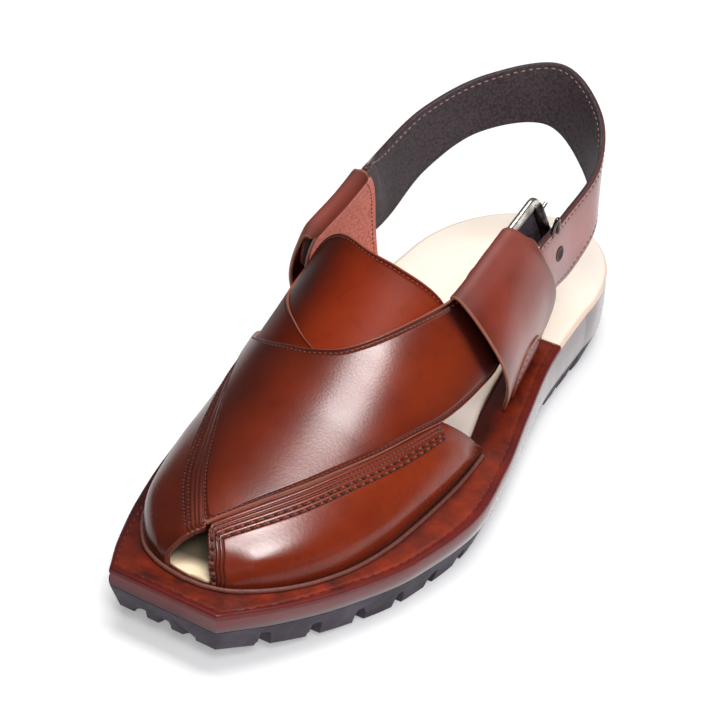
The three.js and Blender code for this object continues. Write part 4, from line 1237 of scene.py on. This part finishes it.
def make_strap():
    """Heel strap: an outer leather and a dark lining of half its thickness each, both with rounded edges."""
    a, b = np.meshgrid(np.linspace(0, 1, 320), gathered(34), indexing="ij")
    across = arc_length(strap_point(a, b, 0.0).swapaxes(0, 1)).T
    edge = np.minimum(across, across[:, -1:] - across)
    over = rounded(edge, STRAP_ROUND)
    channel = STRAP_CHANNEL_DEEP * bell(edge, STRAP_SEAM_IN, STRAP_CHANNEL_HALF)
    half = STRAP_THICK / 2
    layers = (
        ("strap_outer", STRAP_LEATHER, half - STRAP_OUTER_DROP * over - channel, STRAP_LAYER_GAP),
        ("strap_inner", STRAP_LINING, -STRAP_LAYER_GAP, -half + STRAP_INNER_DROP * over + channel),
    )
    for name, finish, front, back in layers:
        points, faces = shell(strap_point(a, b, front), strap_point(a, b, back))
        piece(name, points, faces, finish, "heel_strap", leather_marks(edge, line=edge))
    share = np.linspace(*STRAP_SEAM_SPAN, 500)
    wide = np.linalg.norm(strap_point(share, 1.0, 0.0) - strap_point(share, 0.0, 0.0), axis=-1)
    inset = STRAP_SEAM_IN / wide
    seams = (
        ("strap_upper_seam_outside", 1 - inset, 1, STRAP_THREAD),
        ("strap_upper_seam_inside", 1 - inset, -1, TAN_THREAD),
        ("strap_lower_seam_outside", inset, 1, STRAP_THREAD),
    )
    for name, height, face, thread in seams:
        path = strap_point(share, height, face * (half - STRAP_THREAD_SUNK))
        normals = unit(strap_point(share, height, face * (half + 1)) - path)
        stitch_row(name, path, normals, STRAP_STITCH, thread)


STRAP_HOLE_AT, STRAP_HOLE_ACROSS, STRAP_HOLE_LONG = 0.735, 0.54, 1.5
HOLE_RINGS = columns("radius lift", [
    (0.05, 0.1), (1.0, 0.1), (1.5, 0.14), (1.75, 0.24), (2.05, 0.34), (2.35, 0.28),
    (2.7, 0.1), (2.9, -0.4), (0.05, -0.5),
])
BUCKLE_LONG, BUCKLE_HIGH, BUCKLE_BAR, BUCKLE_THICK, BUCKLE_CORNER = 24.0, 30.0, 3.2, 2.2, 4.0
BUCKLE_BROAD, BROAD_FROM, BROAD_FULL, BUCKLE_FULLNESS = 1.1, 10.5, 13.2, 0.55
PRONG_RADIUS, PRONG_UP, PRONG_TIP, PRONG_ARCH, PRONG_TAPER = 1.1, 3.0, 6.0, 0.5, 0.62
STRAP_END_HALF, STRAP_END_LOW, STRAP_END_HIGH, STRAP_END_FACES = 9.5, -12.5, 10.5, (-0.4, -1.3)
ROLLER_HALF, ROLLER_RADIUS, ROLLER_ROUND, ROLLER_ROUND_FROM = 10.5, 2.3, 0.5, 9.3
KEEPER_MIDDLE, KEEPER_RADIUS = (32.6, 51.0, 82.0), 0.75
KEEPER_OUT, KEEPER_HALF, KEEPER_HIGH = 0.6, 2.2, 7.0
BUCKLE_SEAT = np.array([26.0, 43.2, 79.5])
BUCKLE_RISE, BUCKLE_LEAN, BUCKLE_YAW = np.radians([24.0, -7.0, -8.0])


def axis_turn(axis, angle):
    """Matrix of a turn about one axis."""
    i, j = (axis + 1) % 3, (axis + 2) % 3
    matrix = np.eye(3)
    matrix[i, i] = matrix[j, j] = np.cos(angle)
    matrix[j, i] = np.sin(angle)
    matrix[i, j] = -matrix[j, i]
    return matrix


def seated(along, up, out):
    """Carries places along, up and out of the buckle to its seat: turned about X, then Y, then Z."""
    local = np.stack(np.broadcast_arrays(out, along, up), -1)
    turn = axis_turn(2, BUCKLE_YAW) @ axis_turn(1, BUCKLE_LEAN) @ axis_turn(0, BUCKLE_RISE)
    return local @ turn.T + BUCKLE_SEAT


def fuller(wave):
    """Wave between -1 and 1 made fuller: its sign times a low power of its size."""
    return np.sign(wave) * np.abs(wave) ** BUCKLE_FULLNESS


def make_buckle():
    """Buckle: a rounded bar section carried round a rounded rectangle, and a tapered prong across it."""
    corner = BUCKLE_CORNER - BUCKLE_BAR / 2
    x, y = BUCKLE_LONG / 2 - BUCKLE_CORNER, BUCKLE_HIGH / 2 - BUCKLE_CORNER
    turn = np.arange(4)[:, None] * np.pi / 2 + np.linspace(0, np.pi / 2, 9)
    outward = np.stack([np.cos(turn), np.sin(turn)], -1)
    centres = np.array([(x, y), (-x, y), (-x, -y), (x, -y)])
    path = (centres[:, None] + corner * outward).reshape(-1, 1, 2)
    around = np.linspace(0, 2 * np.pi, 16, endpoint=False)
    out = BUCKLE_BAR / 2 * fuller(np.cos(around))
    broad = 1 + BUCKLE_BROAD * smooth(path[..., 1], BROAD_FROM, BROAD_FULL)
    reach = np.where(out < 0, out * broad, out)
    flat = path + outward.reshape(-1, 1, 2) * reach[..., None]
    ring = seated(flat[..., 0], flat[..., 1], BUCKLE_THICK / 2 * fuller(np.sin(around)))
    grid = np.arange(reach.size).reshape(reach.shape)
    faces = cells(np.pad(grid, ((0, 1), (0, 1)), "wrap"))
    piece("buckle_ring", ring.reshape(-1, 3), faces, STEEL, "buckle_frame", crease=FINE_CREASE)
    share = np.linspace(0, 1, 40)
    along = mix(-BUCKLE_LONG / 2, BUCKLE_LONG / 2 + PRONG_TIP, share)
    depth = -BUCKLE_THICK / 2 - GAP - PRONG_RADIUS + PRONG_ARCH * np.sin(np.pi * share)
    taper = PRONG_RADIUS * mix(1.0, PRONG_TAPER, share ** 2)
    rod("buckle_tongue", seated(along, PRONG_UP, depth), taper, 14, STEEL, "buckle_prong")


def make_buckle_trim():
    """Dark strap end inside the frame, a roller on its rear bar and a bent wire keeper over the strap."""
    along = np.linspace(-STRAP_END_HALF, STRAP_END_HALF, 24)
    up = np.linspace(STRAP_END_LOW, STRAP_END_HIGH, 24)
    points, faces = shell(*(seated(along[:, None], up[None], depth) for depth in STRAP_END_FACES))
    piece("buckle_strap_end", points, faces, STRAP_LINING)
    height = np.linspace(-ROLLER_HALF, ROLLER_HALF, 30)
    path = seated(BUCKLE_LONG / 2 - BUCKLE_BAR / 2, height, 0.0)
    radius = ROLLER_RADIUS - ROLLER_ROUND * smooth(np.abs(height), ROLLER_ROUND_FROM, ROLLER_HALF)
    rod("buckle_roller", path, radius, 18, DARK_STEEL, up=(1, 0, 0))
    turn = np.linspace(0, np.pi, 25)
    bend = np.stack([KEEPER_OUT * np.sin(turn), -KEEPER_HALF * np.cos(turn), KEEPER_HIGH * np.sin(turn)], -1)
    rod("strap_keeper", KEEPER_MIDDLE + bend, KEEPER_RADIUS, 10, DARK_STEEL, up=(1, 0, 0))


def make_eyelet():
    """Punched hole of the strap: rings round a long hole, dark and sunk inside, with a rolled rim."""
    def spot(along, across):
        return strap_point(STRAP_HOLE_AT + along, STRAP_HOLE_ACROSS + across, STRAP_THICK / 2)

    centre = spot(0.0, 0.0)
    along = unit(spot(0.01, 0.0) - centre)
    out = unit(np.cross(spot(0.0, 0.1) - centre, along))
    turn = np.linspace(0, 2 * np.pi, 28, endpoint=False)[:, None]
    ring = STRAP_HOLE_LONG * along * np.cos(turn) + np.cross(along, out) * np.sin(turn)
    radius, lift = (HOLE_RINGS[name][:, None, None] for name in ("radius", "lift"))
    marks = {"edge": np.repeat(HOLE_RINGS["radius"], len(turn))}
    grid = centre + radius * ring + lift * out
    ringed("strap_hole_rim", grid, HOLE_FINISH, marks=marks, crease=FINE_CREASE)


make_outsole()
make_midsole()
make_welt()
make_insole()
make_panels()
make_wing(WINGS[0], "wing_lateral", 1.0, 0.2)
make_wing(WINGS[1], "wing_medial", 0.6, 0.1)
make_strap()
make_eyelet()
make_buckle()
make_buckle_trim()


# Stage, lights and camera
WHITE = (1.0, 1.0, 1.0, 1.0)
FLOOR_HALF, FLOOR_Z = 4.0, -0.0003


def make_stage():
    """Wide pale floor just under the sole."""
    f = Finish("pale_floor", Specular_IOR_Level=0.1, Emission_Color=WHITE, Emission_Strength=0.3)
    base = f.colour(f.noise(6, 2), srgb(224, 224, 224), srgb(220, 220, 221))
    finish = f.done(Base_Color=base, Roughness=0.9 + 0.05 * f.noise(40, 2))
    mesh = bpy.data.meshes.new("floor")
    corners = [(x * FLOOR_HALF, y * FLOOR_HALF, FLOOR_Z) for x, y in ((-1, -1), (1, -1), (1, 1), (-1, 1))]
    mesh.from_pydata(corners, [], [(0, 1, 2, 3)])
    mesh.materials.append(finish)
    placed("floor", mesh)


def look(place, aim, roll=0.0):
    """Matrix of an object at place that looks at aim along its -Z, rolled about that line."""
    back = unit(np.array(place) - np.array(aim))
    right = unit(np.cross([0.0, 0.0, 1.0], back))
    up = np.cross(back, right)
    c, s = np.cos(roll), np.sin(roll)
    axes = np.stack([c * right + s * up, c * up - s * right, back], -1)
    matrix = np.eye(4)
    matrix[:3, :3] = axes
    matrix[:3, 3] = place
    return Matrix(matrix.tolist())


def softbox(name, place, aim, size, watts, in_shine=True, in_matte=True, colour=(1.0, 1.0, 1.0)):
    """Rectangular light that looks at aim, left out of the shine or of the matte light where told."""
    lamp = bpy.data.lights.new(name, "AREA")
    lamp.shape = "RECTANGLE"
    lamp.size, lamp.size_y = size
    lamp.energy = watts
    lamp.color = colour
    obj = placed(name, lamp)
    obj.matrix_world = look(place, aim)
    obj.visible_glossy = in_shine
    obj.visible_diffuse = in_matte


OVERHEAD_X, OVERHEAD_Y, OVERHEAD_Z, STRIP_LEAN = 0.08, 0.01, 1.2, 0.05
ROOM_STRENGTH = 0.12
MATTE_LIGHTS = (
    ("overhead", (0.06, -0.02, 1.25), (0.02, -0.02, 0.0), (0.55, 0.9), 14.0, (1.0, 1.0, 1.0)),
    ("key", (0.6, -0.95, 1.15), (0.0, -0.03, 0.04), (0.6, 0.6), 12.0, (1.0, 1.0, 1.0)),
    ("side_fill", (1.3, -0.1, 0.4), (0.0, -0.02, 0.04), (1.0, 0.5), 6.5, (0.9, 0.92, 1.0)),
)
STRIPS = columns("offset wide long radiance", [
    (0.0, 0.06, 0.42, 100.0), (-0.045, 0.03, 0.46, 58.0), (0.045, 0.03, 0.46, 58.0),
    (-0.075, 0.03, 0.5, 24.0), (0.075, 0.03, 0.5, 24.0),
])


def make_light():
    """Dim white room, graded strips overhead for a soft shine, and matte light from above, key and fill.

    A strip's power is its radiance times pi times its area.
    """
    world = bpy.data.worlds.new("white_room")
    world.use_nodes = True
    room = world.node_tree.nodes["Background"].inputs
    room["Color"].default_value = WHITE
    room["Strength"].default_value = ROOM_STRENGTH
    bpy.context.scene.world = world
    for strip in STRIPS:
        y = OVERHEAD_Y + strip["offset"]
        place, aim = (OVERHEAD_X, y, OVERHEAD_Z), (OVERHEAD_X - STRIP_LEAN, y, 0.0)
        watts = strip["radiance"] * np.pi * strip["wide"] * strip["long"]
        softbox("strip", place, aim, (strip["wide"], strip["long"]), watts, in_matte=False)
    for name, place, aim, size, watts, colour in MATTE_LIGHTS:
        softbox(name, place, aim, size, watts, in_shine=False, colour=colour)
    bpy.context.scene.view_settings.view_transform = "Standard"


CAMERA_PLACE = (0.49195, -0.97817, 0.74425)
CAMERA_AIM = (-0.0156, 0.00059, 0.03678)
CAMERA_ROLL = np.radians(4.633)
CAMERA_SENSOR, CAMERA_LENS, CAMERA_REACH = 36.0, 181.55, 20.0


def make_camera():
    """Camera at the photo's angle."""
    camera = bpy.data.cameras.new("camera")
    camera.sensor_width = CAMERA_SENSOR
    camera.lens = CAMERA_LENS
    camera.clip_end = CAMERA_REACH
    obj = placed("camera", camera)
    obj.matrix_world = look(CAMERA_PLACE, CAMERA_AIM, CAMERA_ROLL)
    bpy.context.scene.camera = obj


make_stage()
make_light()
make_camera()
